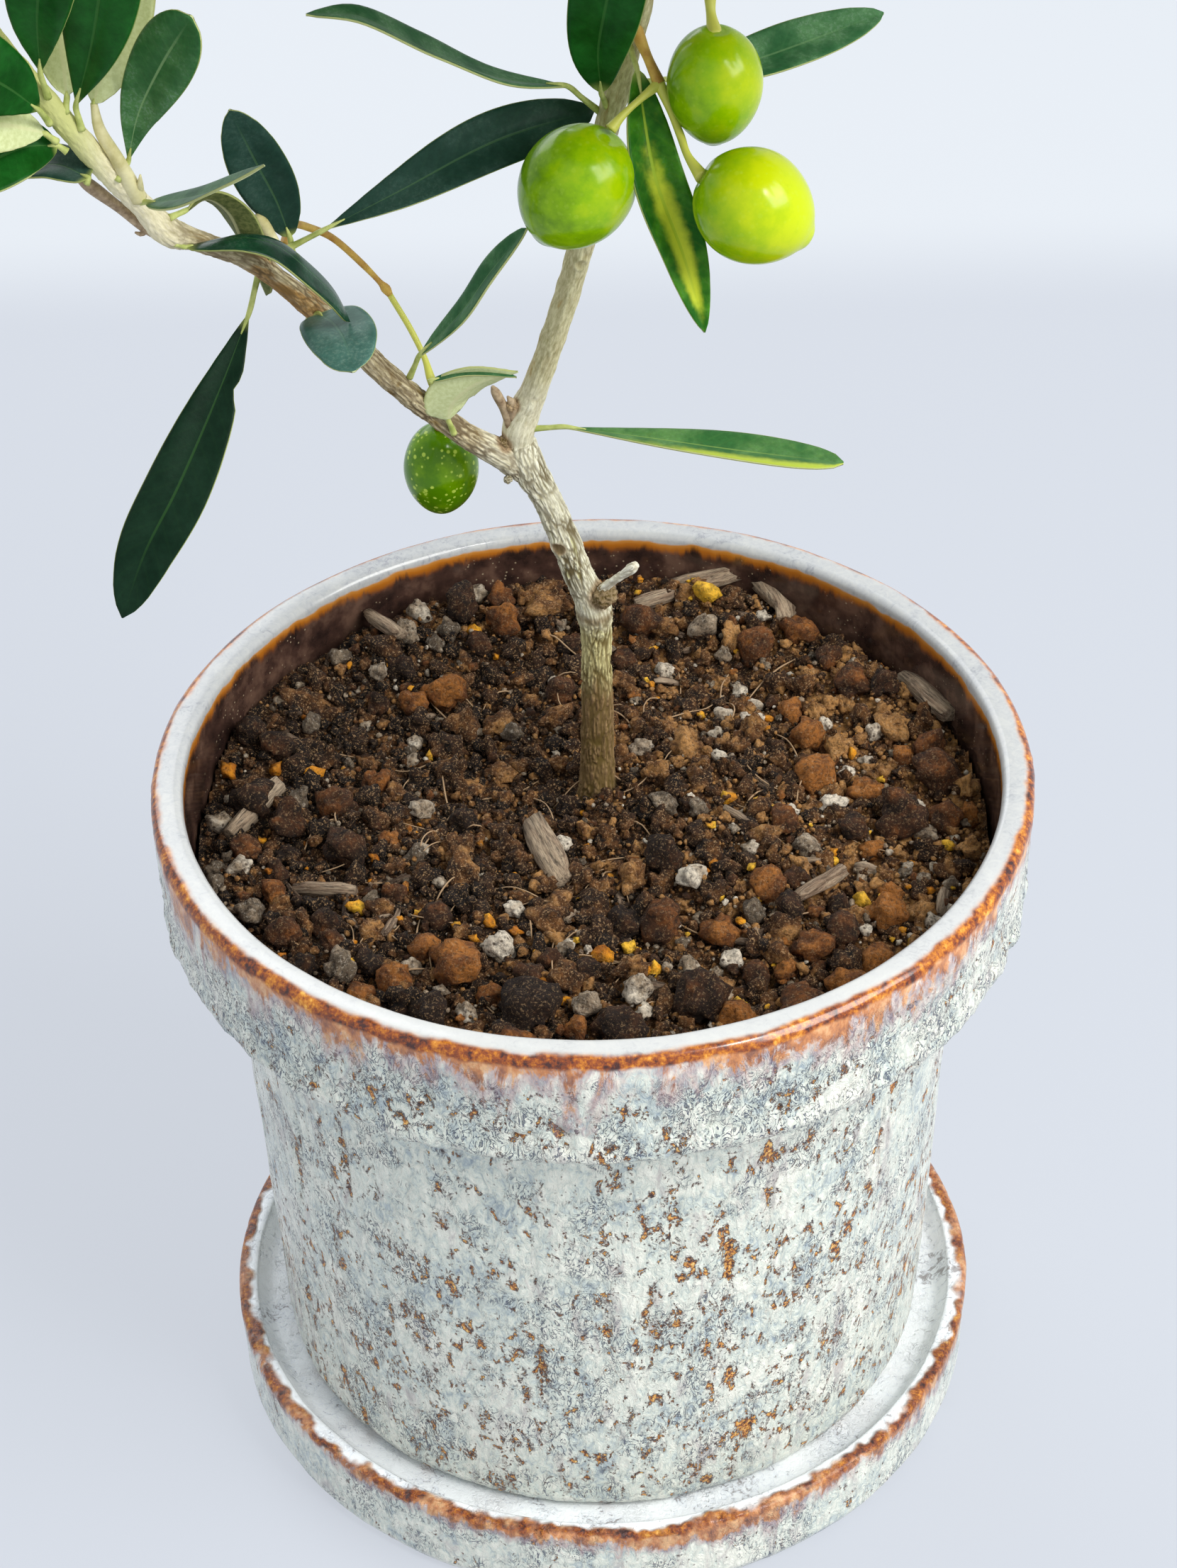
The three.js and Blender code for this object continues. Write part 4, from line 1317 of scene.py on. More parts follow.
def leaf_top(name, tint, light, rib, rib_share=0.7, band=0.055, bloom=0.06, gloss=0.10, roughness=0.38,
             flush=None, one_side=False):
    """band is the midrib's half width as a share of the blade's, bloom how waxy the leaf is, and flush a
    yellow that spreads along the middle, or over one side."""
    made, tree, shader = material(name, roughness, Specular_IOR_Level=gloss)
    place = object_place(tree)
    across, along = attribute(tree, "across"), attribute(tree, "along")
    away = abs(across)
    fine = cloud(place, 1300, 4, 0.65)
    slow = cloud(place, 140, 3)
    color = blend(rise(slow, 0.35, 0.68), tint, light)
    shade = ramp(fine, (0.3, (0.78, 0.78, 0.78)), (0.7, (1.16, 1.16, 1.16)))
    color = blend(0.8, color, shade, "MULTIPLY")
    veins = calc("SINE", (along - away * 0.10) * SIDE_VEINS)
    color = blend(rise(veins, 0.72, 1.0) * 0.03, color, rib)
    color = blend(rise(cloud(place, 2100, 4, 0.7), 0.46, 0.66) * rise(slow, 0.40, 0.60) * bloom, color,
                  WAXY_GREY)
    if flush:
        spread = rise(across, 0.1, 0.95) if one_side else rise(away, 0.72, 0.05) * rise(along, 1.0, 0.82)
        yellow = spread * rise(along, 0.10, 0.60) + (cloud(place, 420, 3) - 0.5) * 0.9
        color = blend(rise(yellow, 0.08, 0.95) * 0.95, color, flush)
    line = rise(away, band, band * 0.4) * rise(along, 1.0, 0.6)
    color = blend(line * rib_share, color, rib)
    color = blend(rise(away, 0.965, 1.0) * 0.8, color, MARGIN_GREEN)
    color = blend(rise(along, 0.07, 0.0) * 0.8, color, FOOT_GREEN)
    wire(shader, Base_Color=color)
    bump(shader, fine - line * 1.5, 0.25, 0.12 * MM)
    return made


def leaf_under(name, tint, light):
    made, tree, shader = material(name, 0.75, Specular_IOR_Level=0.25)
    away = abs(attribute(tree, "across"))
    color = blend(rise(cloud(object_place(tree), 1500, 3), 0.3, 0.7), tint, light)
    color = blend(rise(away, 0.12, 0.05) * 0.6, color, (0.62, 0.62, 0.34))
    wire(shader, Base_Color=blend(rise(away, 0.95, 1.0) * 0.7, color, (0.40, 0.42, 0.14)))
    return made


def plain(name, color, roughness, **values):
    made, _, shader = material(name, roughness, **values)
    shader.inputs["Base Color"].default_value = (*color, 1)
    return made


DARK, MID, FRESH, PALE, SHADED, BLOOMED, TEAL, GLOSSY, DEEP, LIME, SEA = range(11)
leaf_finishes = [
    leaf_top("leaf_dark", (0.013, 0.044, 0.029), (0.026, 0.066, 0.048), rib=(0.07, 0.15, 0.06),
             rib_share=0.5),
    leaf_top("leaf_mid", (0.003, 0.054, 0.004), (0.010, 0.100, 0.012), rib=(0.06, 0.18, 0.04), rib_share=0.4,
             bloom=0.0),
    leaf_top("leaf_fresh", (0.012, 0.100, 0.006), (0.070, 0.25, 0.012), rib=(0.36, 0.50, 0.03), band=0.09,
             flush=(0.58, 0.64, 0.04)),
    leaf_under("leaf_underside", (0.52, 0.57, 0.27), (0.63, 0.68, 0.37)),
    leaf_under("leaf_underside_shaded", (0.06, 0.085, 0.018), (0.15, 0.17, 0.05)),
    leaf_top("leaf_bloomed", (0.028, 0.125, 0.032), (0.080, 0.22, 0.066), rib=(0.26, 0.42, 0.18), bloom=0.3),
    leaf_top("leaf_teal", (0.035, 0.11, 0.085), (0.080, 0.18, 0.15), rib=(0.10, 0.22, 0.14), rib_share=0.4,
             bloom=0.3),
    leaf_top("leaf_glossy", (0.004, 0.026, 0.012), (0.010, 0.055, 0.024), rib=(0.03, 0.10, 0.03), gloss=0.2,
             roughness=0.24),
    leaf_top("leaf_deep", (0.002, 0.015, 0.006), (0.006, 0.024, 0.011), rib=(0.03, 0.09, 0.02), rib_share=0.5,
             bloom=0.0),
    leaf_top("leaf_lime", (0.030, 0.115, 0.030), (0.085, 0.20, 0.055), rib=(0.22, 0.34, 0.08), rib_share=0.5,
             band=0.06, flush=(0.38, 0.46, 0.05), one_side=True),
    leaf_top("leaf_sea", (0.028, 0.110, 0.040), (0.085, 0.205, 0.085), rib=(0.18, 0.32, 0.14), rib_share=0.4,
             bloom=0.2, gloss=0.04),
]
print(len(leaf_finishes), "leaf finishes")

# %% [markdown]
# The leaves low on the tree are few enough to place one by one. Each has a path in millimetres. Its first
# stretch is the leaf stalk, and the rest is the blade. Then come its width, the directions its upper side
# faces at foot and tip, the fold in degrees, the outline and the finishes of its two sides.

# %% Leaves placed one by one
FRONT = (0, -0.85, 0.55)
LOW_LEAVES = {
    "hanging": ([(-47.4, -14.2, 239.6), (-49.4, -17, 233.1), (-53.8, -24, 224.6), (-60.7, -33, 212.6),
                 (-65.8, -38, 204.7), (-69.7, -42, 195.7)],
                9.9, (FRONT, FRONT), 8, (1.0, 0.64), (DEEP, PALE)),
    "upright": ([(-42.5, -11, 236.7), (-43.2, -10, 241.5), (-44.6, -10.5, 247.5), (-46.9, -12.5, 255),
                 (-49.8, -16, 265.6)],
                8.8, (FRONT, FRONT), 10, (0.65, 0.62), (DARK, PALE)),
    "reaching": ([(-43.7, -11, 240.1), (-38.2, -11, 243.1), (-27, -9, 248.1), (-12.2, -4, 253.6),
                  (2.4, 3, 254.6)],
                 9.2, ((0, -0.75, 0.65), (0, -0.7, 0.7)), 14, (1.1, 0.6), (DARK, PALE)),
    "leader_left": ([(3.1, 1, 255.4), (-1.6, -3, 261.7), (-11.7, -9, 266.5), (-21.5, -14, 273.7),
                     (-31.1, -17, 280.6), (-37.8, -18, 281.3)],
                    8.0, ((0.4, 0.15, 0.9), (0.4, 0.05, 0.9)), 10, (0.9, 0.7), (SEA, PALE)),
    "leader_front": ([(4.2, -0.6, 257), (3.4, -2.6, 260.2), (3.0, -7, 269), (4.3, -11.5, 279),
                      (6.6, -15, 292), (9, -17, 305)],
                     11.6, ((-0.1, -0.9, 0.2), (-0.2, -0.95, 0)), 18, (0.75, 0.7), (MID, PALE)),
    "leader_down": ([(7.6, -2.4, 267.8), (8.6, -5, 265.3), (11.0, -13, 251.9), (14.9, -18, 241.7),
                     (18, -22, 230.8)],
                    8.6, ((0.3, -0.75, 0.5), (0.2, -0.8, 0.5)), 22, (0.7, 0.75), (FRESH, PALE)),
    "leader_right": ([(5.8, 1, 259.7), (13.4, 5, 258.4), (24.2, 13, 256.5), (34.1, 18, 257.3),
                      (47, 24, 259.2)],
                     8.2, ((0, -0.55, 0.8), (0, -0.5, 0.85)), 14, (0.9, 0.62), (SEA, PALE)),
    "fork_right": ([(-8.6, 9.2, 195), (-3.4, 8, 196), (8.5, 5, 195.9), (25.3, 2, 194.6), (41, 0, 193.2)],
                   7.6, ((0.05, 0.0, 1), (0.05, -0.1, 1)), 12, (1.15, 0.5), (LIME, PALE)),
    "bough_back": ([(-27.1, -1, 211.4), (-25.3, -3, 216.5), (-18.5, -6, 225.9), (-13.9, -8, 233.7),
                    (-8.1, -10, 242.2)],
                   6.0, ((-0.85, -0.2, 0.49), (-0.85, -0.2, 0.49)), 12, (0.8, 0.6), (SEA, PALE)),
    "bough_foot": ([(-20.8, 2.6, 198.6), (-21.6, 1.2, 202.3), (-20.8, -0.2, 206.0), (-17.0, -1.8, 210.6),
                    (-10.2, -3.4, 213.6)],
                   9.2, ((-0.35, 0.8, -0.1), (-0.3, 0.75, 0.35)), 24, (0.42, 1.0), (MID, PALE)),
    "bough_foot_edge": ([(-23.9, -1.2, 210.6), (-23.9, -1.2, 210.8), (-19.1, -2.0, 212.7),
                         (-14.6, -3.0, 213.2), (-10.4, -3.8, 212.8)],
                        1.7, ((0, -0.3, 1), (0, -0.3, 1)), 6, (0.5, 0.6), (SEA, PALE)),
    "bough_front": ([(-41.2, -11, 228.1), (-39.6, -13, 230.2), (-37.0, -20, 232.8), (-34.8, -27, 233.6),
                     (-33.4, -33, 232.2)],
                    10.6, ((-0.1, -0.1, 1), (-0.15, -0.3, 0.95)), 6, (0.5, 0.45), (TEAL, PALE)),
    "over_bough": ([(-58.2, -27, 250.5), (-56.8, -26, 249.3), (-52.9, -26, 250.1), (-48.3, -26, 250.7),
                    (-43.8, -25, 248.8), (-39.1, -24, 243.5), (-35.9, -23, 238.7), (-34.2, -22, 234)],
                   6.6, ((-0.1, 0.15, 1), (0.88, -0.1, 0.47)), -10, (0.55, 0.55), (GLOSSY, SHADED)),
    "behind_bough": ([(-58.5, -27, 254.6), (-56.4, -25, 254.6), (-53.8, -22, 255), (-51.0, -19, 251.3),
                      (-49.2, -16, 243.9), (-46.9, -13, 233.7)],
                     7.4, ((0, 0.8, 0.6), (0.85, 0.45, 0.1)), 20, (0.6, 0.5), (DARK, SHADED)),
    "near_thin": ([(-62.1, -30, 258.9), (-60.6, -32, 259.9), (-56.9, -37, 262.9), (-50.9, -46, 268.9),
                   (-45, -54, 275.4), (-41.3, -60, 280.4)],
                  6.6, ((-0.38, 0.2, 0.9), (-0.4, 0.15, 0.9)), 8, (0.6, 0.9), (SEA, PALE)),
    "blunt": ([(-64.6, -32.8, 263.8), (-62.9, -32, 266.2), (-60.4, -35, 275.0), (-56.2, -39.4, 284.2),
               (-50.7, -45, 294.2)],
              9.4, (FRONT, FRONT), 8, (1.15, 0.5), (BLOOMED, PALE)),
    "rising": ([(-68.0, -37, 274.0), (-68.3, -38, 277.9), (-64.4, -43, 289.9), (-61.4, -47, 301.9),
                (-58.5, -50, 316)],
               11.6, (FRONT, FRONT), 12, (1.15, 0.7), (MID, PALE)),
    "rising_back": ([(-66.4, -34, 273.4), (-66.4, -34, 276.2), (-63.3, -33, 284.5), (-61, -32, 294),
                     (-59.4, -30, 306)],
                    10.4, ((0.2, 0.8, -0.5), (0.2, 0.8, -0.5)), 12, (0.7, 0.7), (MID, PALE)),
    "rising_left": ([(-71.4, -41, 281), (-71.7, -43, 285.4), (-70.5, -48, 295.6), (-68.3, -52, 306.3),
                     (-66.0, -54, 319)],
                    10.6, (FRONT, FRONT), 12, (1.15, 0.7), (MID, PALE)),
    "rising_behind": ([(-69.8, -38, 277.1), (-69.3, -38, 279.6), (-69.5, -36, 287), (-70, -33, 295),
                       (-69.6, -30, 306)],
                      9.4, ((0, 0.8, -0.5), (0, 0.8, -0.5)), 12, (0.6, 0.7), (MID, PALE)),
    "outer": ([(-71.6, -41, 277.1), (-72.3, -43.4, 280.2), (-75.1, -49, 286.5), (-79.2, -55, 293),
               (-84, -60, 301)],
              11.4, (FRONT, FRONT), 10, (1.0, 0.7), (MID, PALE)),
    "outer_low": ([(-70.2, -38, 271.2), (-71.4, -38, 272.2), (-75.5, -41, 273.6), (-81, -45, 273),
                   (-88, -47.5, 271)],
                  9.6, (FRONT, (0, -0.6, 0.8)), 14, (0.7, 0.7), (MID, PALE)),
    "outer_under": ([(-68.4, -36, 265.2), (-67.9, -36, 266), (-72.2, -33, 266.6), (-77.5, -30, 265.2),
                     (-84, -26, 266)],
                    7.4, ((0, -0.3, 1), (0, -0.3, 1)), 14, (0.5, 0.7), (DARK, SHADED)),
    "outer_pale": ([(-71.3, -39, 273.3), (-72.7, -40.4, 275.4), (-76.5, -43, 277.8), (-81.6, -46.5, 280),
                    (-88, -49, 281.5)],
                   7.6, ((0, 0.8, -0.5), (0, 0.7, -0.7)), 12, (0.7, 0.7), (MID, PALE)),
}

leaf_bm, stalk_bm = bmesh.new(), bmesh.new()
PETIOLE = 4
for name, (joints, width, faces_to, fold, shape, slots) in LOW_LEAVES.items():
    notch = (0.24, 0.35) if name == "hanging" else None
    blade(leaf_bm, joints[1:], width, faces_to, fold, shape, slots, notch)
    foot, base = Vector(joints[0]), Vector(joints[1])
    into = base + (Vector(joints[2]) - base) * 0.3
    stalk(stalk_bm, [(*foot, 0.58), (*foot.lerp(base, 0.55), 0.44), (*base, 0.42), (*into, 0.12)],
          slot=PETIOLE)
foliage = [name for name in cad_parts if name.startswith("foliage_")]
piece("low_leaves", finish_mesh("low_leaves", leaf_bm, outward=False), leaf_finishes, foliage)

# %% [markdown]
# ## Olives and stalks
#
# The fruit is unripe, glossy and yellow-green with fine pale dots. Each olive is a ball drawn out along
# its own axis, blunt at the stalk, where there is a dimple, and a little pointed at the other end.

# %% Olives
# painted light: the direction of the window lamp, whose side of each olive is painted yellower
PAINTED_LIGHT_SIDE = Vector((0.90, -0.30, 0.30))


def olive(bm, centre, axis, width, length, tint, detail=(72, 48)):
    """An olive about centre, with axis towards its stalk, in millimetres."""
    tints, spots = layer(bm, "tint"), layer(bm, "grain", "float_vector")
    made = bmesh.ops.create_uvsphere(bm, u_segments=detail[0], v_segments=detail[1], radius=1)["verts"]
    turn = Vector((0, 0, 1)).rotation_difference(Vector(axis)).to_matrix()
    for vert in made:
        z = vert.co.z
        swell = 1 + 0.05 * z - 0.05 * z * z
        dimple = 0.05 * math.exp(-(((1 - z) / 0.03) ** 2))
        point = 0.05 * smoothstep(0.93, 1.0, -z)
        lump = 1 + 0.012 * noise.noise(vert.co * 1.6 + Vector((tint * 40, 0, 0)))
        local = Vector((vert.co.x * swell * width / 2, vert.co.y * swell * width / 2,
                        (z - dimple - point) * length / 2))
        # painted light: the tint rises on the side that faces the lamp, so that side is yellower and the far
        # side greener
        painted_light = 0.6 * tint * (turn @ vert.co.normalized()).dot(PAINTED_LIGHT_SIDE)
        vert[tints] = tint + painted_light
        vert[spots] = local * MM
        vert.co = (Vector(centre) + turn @ (local * lump)) * MM


LOW_OLIVES = {
    "behind_bough": ((-23.8, 18, 182.2), (0.05, -0.1, 1), 12.4, 17.2, 0.06),
    "front": ((-0.6, -13, 250.4), (0.52, 0.0, 0.86), 17.0, 19.6, 0.38),
    "upper_right": ((19.8, -9, 264.4), (0.02, 0.0, 1), 14.0, 18.0, 0.48),
    "right": ((25.0, -22, 251.6), (-0.78, 0.15, 0.45), 16.6, 18.2, 0.70),
}
fruit_bm = bmesh.new()
for centre, axis, width, length, tint in LOW_OLIVES.values():
    olive(fruit_bm, centre, Vector(axis).normalized(), width, length, tint)

# %% Olive skin
UNRIPE = ((0.0, (0.075, 0.20, 0.0)), (0.45, (0.24, 0.44, 0.0)), (1.0, (0.50, 0.60, 0.002)))
DOT_COLOR = (0.48, 0.64, 0.08)


def olive_skin():
    made, tree, shader = material("olive_skin", 0.18, Specular_IOR_Level=0.27)
    place, tint = attribute(tree, "grain", "Vector"), attribute(tree, "tint")
    color = ramp(tint + (cloud(place, 200, 5, 0.65) - 0.5) * 1.25, *UNRIPE)
    green = rise(tint, 0.22, 0.12)
    for scale, low, high in ((900, 0.26, 0.14), (560, 0.25, 0.15)):
        color = blend(rise(cells(place, scale), low, high) * (green * 0.792 + 0.108), color, DOT_COLOR)
    wire(shader, Base_Color=color)
    bump(shader, cloud(place, 500, 2), 0.06, 0.3 * MM)
    return made


print("olives placed by hand:", len(LOW_OLIVES))

# %% [markdown]
# The stalks in view: the fruit stalk that forks to two olives, a bare arched one whose fruit has dropped,
# the green side shoot, a shrivelled twig and the stubs of lost ones. Each is a thin tube whose radius
# swells at its joints, in one of five finishes.

# %% Stalks placed one by one
YELLOW, ORANGE, CREAM, BROWN = range(4)


def stalk_finish(name, low, high, scale):
    made, tree, shader = material(name, 0.55, Specular_IOR_Level=0.35)
    wire(shader, Base_Color=ramp(cloud(object_place(tree), scale, 4, 0.6), (0.32, low), (0.66, high)))
    return made


stalk_finishes = [
    plain("leaf_stalk", (0.60, 0.60, 0.10), 0.45),
    stalk_finish("stalk_orange", (0.38, 0.17, 0.03), (0.68, 0.46, 0.09), 300),
    stalk_finish("stalk_cream", (0.50, 0.44, 0.18), (0.78, 0.72, 0.42), 260),
    stalk_finish("stalk_brown", (0.20, 0.13, 0.07), (0.50, 0.38, 0.24), 900),
    stalk_finish("leaf_foot", (0.30, 0.36, 0.08), (0.56, 0.60, 0.20), 500),
]
STALKS = [
    (ORANGE, [(8.2, -1.8, 272.5, 0.7), (8.9, -3.2, 269.8, 0.95), (10.2, -5, 267, 0.72),
              (11.8, -7, 263.8, 0.95)]),
    (YELLOW, [(11.8, -7, 263.8, 0.9), (9, -9, 262.4, 0.55), (6.4, -10.8, 260.8, 0.6),
              (4.6, -12, 259.2, 0.95)]),
    (YELLOW, [(11.8, -7, 263.8, 0.9), (13.4, -9.4, 260.6, 0.6), (14.7, -12, 258.0, 0.62),
              (15.6, -15.4, 256.6, 0.6), (17.6, -19.6, 255.2, 1.1)]),
    (YELLOW, [(11.9, -3, 299, 0.6), (16, -2, 291, 0.6), (18.9, -3, 279.4, 0.62), (19.2, -4.4, 277.0, 0.95),
              (19.3, -6, 274.3, 0.72), (19.8, -8.8, 272.0, 1.3)]),
    (ORANGE, [(-22.6, 5, 199.5, 0.8), (-22.6, 9, 197, 0.6), (-23.4, 14, 194, 0.55),
              (-23.8, 17.4, 190.4, 0.8)]),
    (YELLOW, [(-22.9, 1.2, 207.0, 0.9), (-23.9, 1, 209.8, 0.75), (-24.8, 3, 212.2, 0.5),
              (-26.8, 5, 216.2, 0.5), (-29.9, 6.8, 221.6, 0.5)]),
    (ORANGE, [(-29.9, 6.8, 221.6, 0.5), (-30.5, 7, 222.6, 0.8), (-31.2, 7, 223.6, 0.5), (-34, 7, 227.2, 0.55),
              (-38, 5, 232.8, 0.55), (-40.8, 2, 236.2, 0.6), (-43.4, -3, 239.6, 0.62),
              (-44.4, -9, 239.4, 0.7)]),
    (CREAM, [(-62.2, -30.2, 259.6, 1.3), (-64.2, -33, 267.3, 1.0), (-66, -34, 272.4, 0.85),
             (-66.4, -34, 276.4, 0.5)]),
    (BROWN, [(-70.6, -30.6, 263.8, 0.4), (-69.2, -29.8, 261.8, 0.95), (-65.4, -27.4, 256.6, 0.8),
             (-61.6, -26.4, 252.4, 0.9), (-58, -24, 248.4, 0.4)]),
    (BROWN, [(-11.4, 9.2, 193.5, 1.0), (-12.0, 8.8, 196.6, 0.95), (-12.9, 8, 199.9, 0.8),
             (-14.1, 7, 203.4, 0.75), (-14.5, 6.7, 204.6, 0.3)]),
    (BROWN, [(-11.6, 8.6, 197.5, 0.9), (-11.5, 7.9, 200.6, 0.8), (-12.2, 7.5, 202.2, 0.2)]),
    (CREAM, [(-44.8, -12.6, 240.6, 0.9), (-45.8, -13, 243.3, 1.0), (-46.9, -14, 246.3, 1.05),
             (-47.5, -14.4, 247.6, 0.5)]),
    (CREAM, [(-62.0, -30, 260.6, 0.7), (-61.6, -31.6, 262.4, 0.5), (-61.3, -32.4, 264.4, 0.15)]),
    (BROWN, [(-61.4, -27, 253.4, 0.6), (-62.8, -27.2, 252.2, 0.4), (-63.6, -27.4, 252.6, 0.15)]),
]
for finish, joints in STALKS:
    stalk(stalk_bm, joints, 12, finish, 0.4)

# %% [markdown]
# ## The crown
#
# Above the low leaves the crown grows by a rule, from a seed. A shoot carries a pair of leaves at each
# node, and each pair stands square to the last. Some leaves give way to side shoots, which repeat the
# rule on a smaller scale. The shoots follow the masses of the frame: seven boughs leave the leader, each
# bending up into its own mass. Two masses ride on the leader's end and three on the left bough.

# %% Boughs
CROWN_BOUGHS = {  # height on the leader, bearing in degrees, reach, climb, and how far its mass goes on
    "right": (290, 2, 56, 48, 46), "back": (283, 84, 50, 50, 44), "back_left": (302, 146, 52, 36, 42),
    "front": (318, 278, 42, 36, 38), "left": (326, 204, 46, 42, 40), "front_right": (304, 322, 52, 30, 40),
    "back_right": (316, 44, 50, 40, 40),
}
leader_line, _ = spline(LEADER, 1.0)


def leader_at(height):
    return Vector([np.interp(height, leader_line[:, 2], leader_line[:, k]) for k in range(3)])


def bough_point(name, along, up):
    """A place that is a share of the bough's reach outwards and of its rise upwards, in millimetres."""
    height, bearing, reach, climb, _ = CROWN_BOUGHS[name]
    way = Vector((math.cos(math.radians(bearing)), math.sin(math.radians(bearing)), 0))
    return leader_at(height) + way * reach * along + Vector((0, 0, climb * up))


axes = {
    "crown_middle": [(12, -3, 292), (11, -2, 318), (8, 0, 344)],
    "crown_top": [(6, 0, 346), (5, 1, 388), (3, 2, 430)],
    "foliage_left_outer": [(-62, -32, 262), (-70, -40, 284), (-80, -48, 310)],
    "foliage_left_side": [(-80, -38, 286), (-98, -34, 295), (-118, -30, 306)],
    "foliage_left_tip": [(-85, -48, 309), (-96, -53, 338), (-98, -50, 378)],
}
for name, (height, _, reach, climb, ahead) in CROWN_BOUGHS.items():
    foot, bend, tip = bough_point(name, 0, 0), bough_point(name, 0.55, 0.32), bough_point(name, 1, 1)
    joints = [(*foot, 1.25), (*foot.lerp(bend, 0.12), 1.15), (*bend, 1.0), (*tip, 0.75)]
    made = stem_mesh(f"bough_{name}_bark", joints, 20, 0.8, bark_relief(30 + height, 1.3, 6.0, 0.08))
    piece(f"bough_{name}_bark", made, [leader_bark], [f"bough_{name}"])
    far = bough_point(name, 1 + 0.35 * ahead / reach, 1 + 0.80 * ahead / climb)
    axes[f"crown_{name}"] = [tuple(bough_point(name, 0.7, 0.5)), tuple(tip), tuple(far)]

# %% [markdown]
# The camera sees only what hangs below the crown, so a grown leaf that would fall inside the image, where
# nothing should be, is dropped. So is one that would leave the box of the frame.

# %% Growing rule
PAST_SIDES, PAST_TOP = 9, 12
BOX_LOW = Vector(cad_box[0]) / MM - Vector((PAST_SIDES, PAST_SIDES, 0))
BOX_HIGH = Vector(cad_box[1]) / MM + Vector((PAST_SIDES, PAST_SIDES, PAST_TOP))
MARGIN = 0.012


def hidden(points):
    """True if no point falls inside the image."""
    for point in points:
        across, down = picture_place(Vector(point) * MM)
        if -MARGIN < across < 1 + MARGIN and -MARGIN < down < 1 + MARGIN:
            return False
    return True


def in_box(points):
    return all(BOX_LOW[k] < point[k] < BOX_HIGH[k] for point in points for k in range(3))


def grow(axis, rng, radius, depth, spray, out):
    """Shoots and leaves along an axis of places, in millimetres, added to out."""
    path, lengths = spline(axis, 1.0)
    tangents, first = carried(path, (rng.uniform(-1, 1), rng.uniform(-1, 1), 0.3))
    second = np.cross(tangents, first)
    total = lengths[-1]
    joints = [(*path[i], radius * (1 - 0.6 * lengths[i] / total)) for i in range(0, len(path) - 2, 3)]
    joints.append((*path[-1], 0.25))
    if hidden(joint[:3] for joint in joints):
        out["shoots"].append(joints)
    turn = rng.uniform(0, FULL_TURN)
    at = rng.uniform(3, 8)
    while at < total:
        i = min(len(path) - 1, int(at))
        left = 1 - at / total
        for half in (0, math.pi):
            angle = turn + half + rng.uniform(-0.3, 0.3)
            outward = Vector(first[i]) * math.cos(angle) + Vector(second[i]) * math.sin(angle)
            tangent = Vector(tangents[i])
            base = Vector(path[i]) + outward * radius * 0.7
            if depth > 0 and left > 0.16 and rng.random() < 0.55:
                length = rng.uniform(20, 34) * (0.6 + 0.5 * left) * (0.75 if depth == 1 else 1)
                middle = base + (outward * 0.75 + tangent * 0.55).normalized() * length * 0.5
                onwards = (outward * 0.35 + tangent * 0.6 + Vector((0, 0, 0.55))).normalized()
                end = middle + onwards * length * 0.5
                if in_box([middle, end]):
                    grow([tuple(base), tuple(middle), tuple(end)], rng, radius * 0.62, depth - 1,
                         rng.randrange(1000), out)
                    continue
            lean = math.radians(rng.uniform(44, 74) - 18 * (left < 0.2))
            droop = Vector((0, 0, rng.uniform(-0.38, 0.08)))
            way = (tangent * math.cos(lean) + outward * math.sin(lean) + droop).normalized()
            length = rng.uniform(31, 46) * (1 if left > 0.2 else 0.75)
            out["leaves"].append((base, way, outward, length, spray))
        turn += math.pi / 2 + rng.uniform(-0.2, 0.2)
        at += rng.uniform(6.5, 10)
    tip = Vector(tangents[-1])
    for side in (-1, 1):
        way = (tip + Vector(first[-1]) * 0.22 * side).normalized()
        out["leaves"].append((Vector(path[-1]), way, Vector(second[-1]), rng.uniform(18, 26), spray))


grown = {"shoots": [], "leaves": []}
for seed, (name, axis) in enumerate(axes.items()):
    mass_rng = random.Random(700 + seed)
    grow(axis, mass_rng, 0.85, 2 if name.startswith("crown") else 1, mass_rng.randrange(1000), grown)
print("grown:", len(grown["shoots"]), "shoots and", len(grown["leaves"]), "leaves")

# %% [markdown]
# The grown leaves are copies of six small blades, each of about sixty faces with its own bend and fold. A
# strip down the middle is the midrib, the rim is the margin, and the tints are plain colours, dealt out
# by spray so that leaves that grew together look alike.

# %% Grown leaves
TINTS = [(0.008, 0.034, 0.020), (0.008, 0.060, 0.014), (0.013, 0.078, 0.018), (0.028, 0.10, 0.030),
         (0.065, 0.17, 0.022)]
crown_finishes = [
    plain(f"crown_leaf_{k}", tint, 0.4, Specular_IOR_Level=0.25) for k, tint in enumerate(TINTS)
]
RIB, UNDER = len(TINTS), len(TINTS) + 1  # a warmer underside comes after UNDER
crown_finishes += [plain("crown_leaf_rib", (0.13, 0.21, 0.06), 0.5),
                   plain("crown_leaf_under", (0.27, 0.34, 0.19), 0.75),
                   plain("crown_leaf_under_warm", (0.34, 0.39, 0.17), 0.75)]


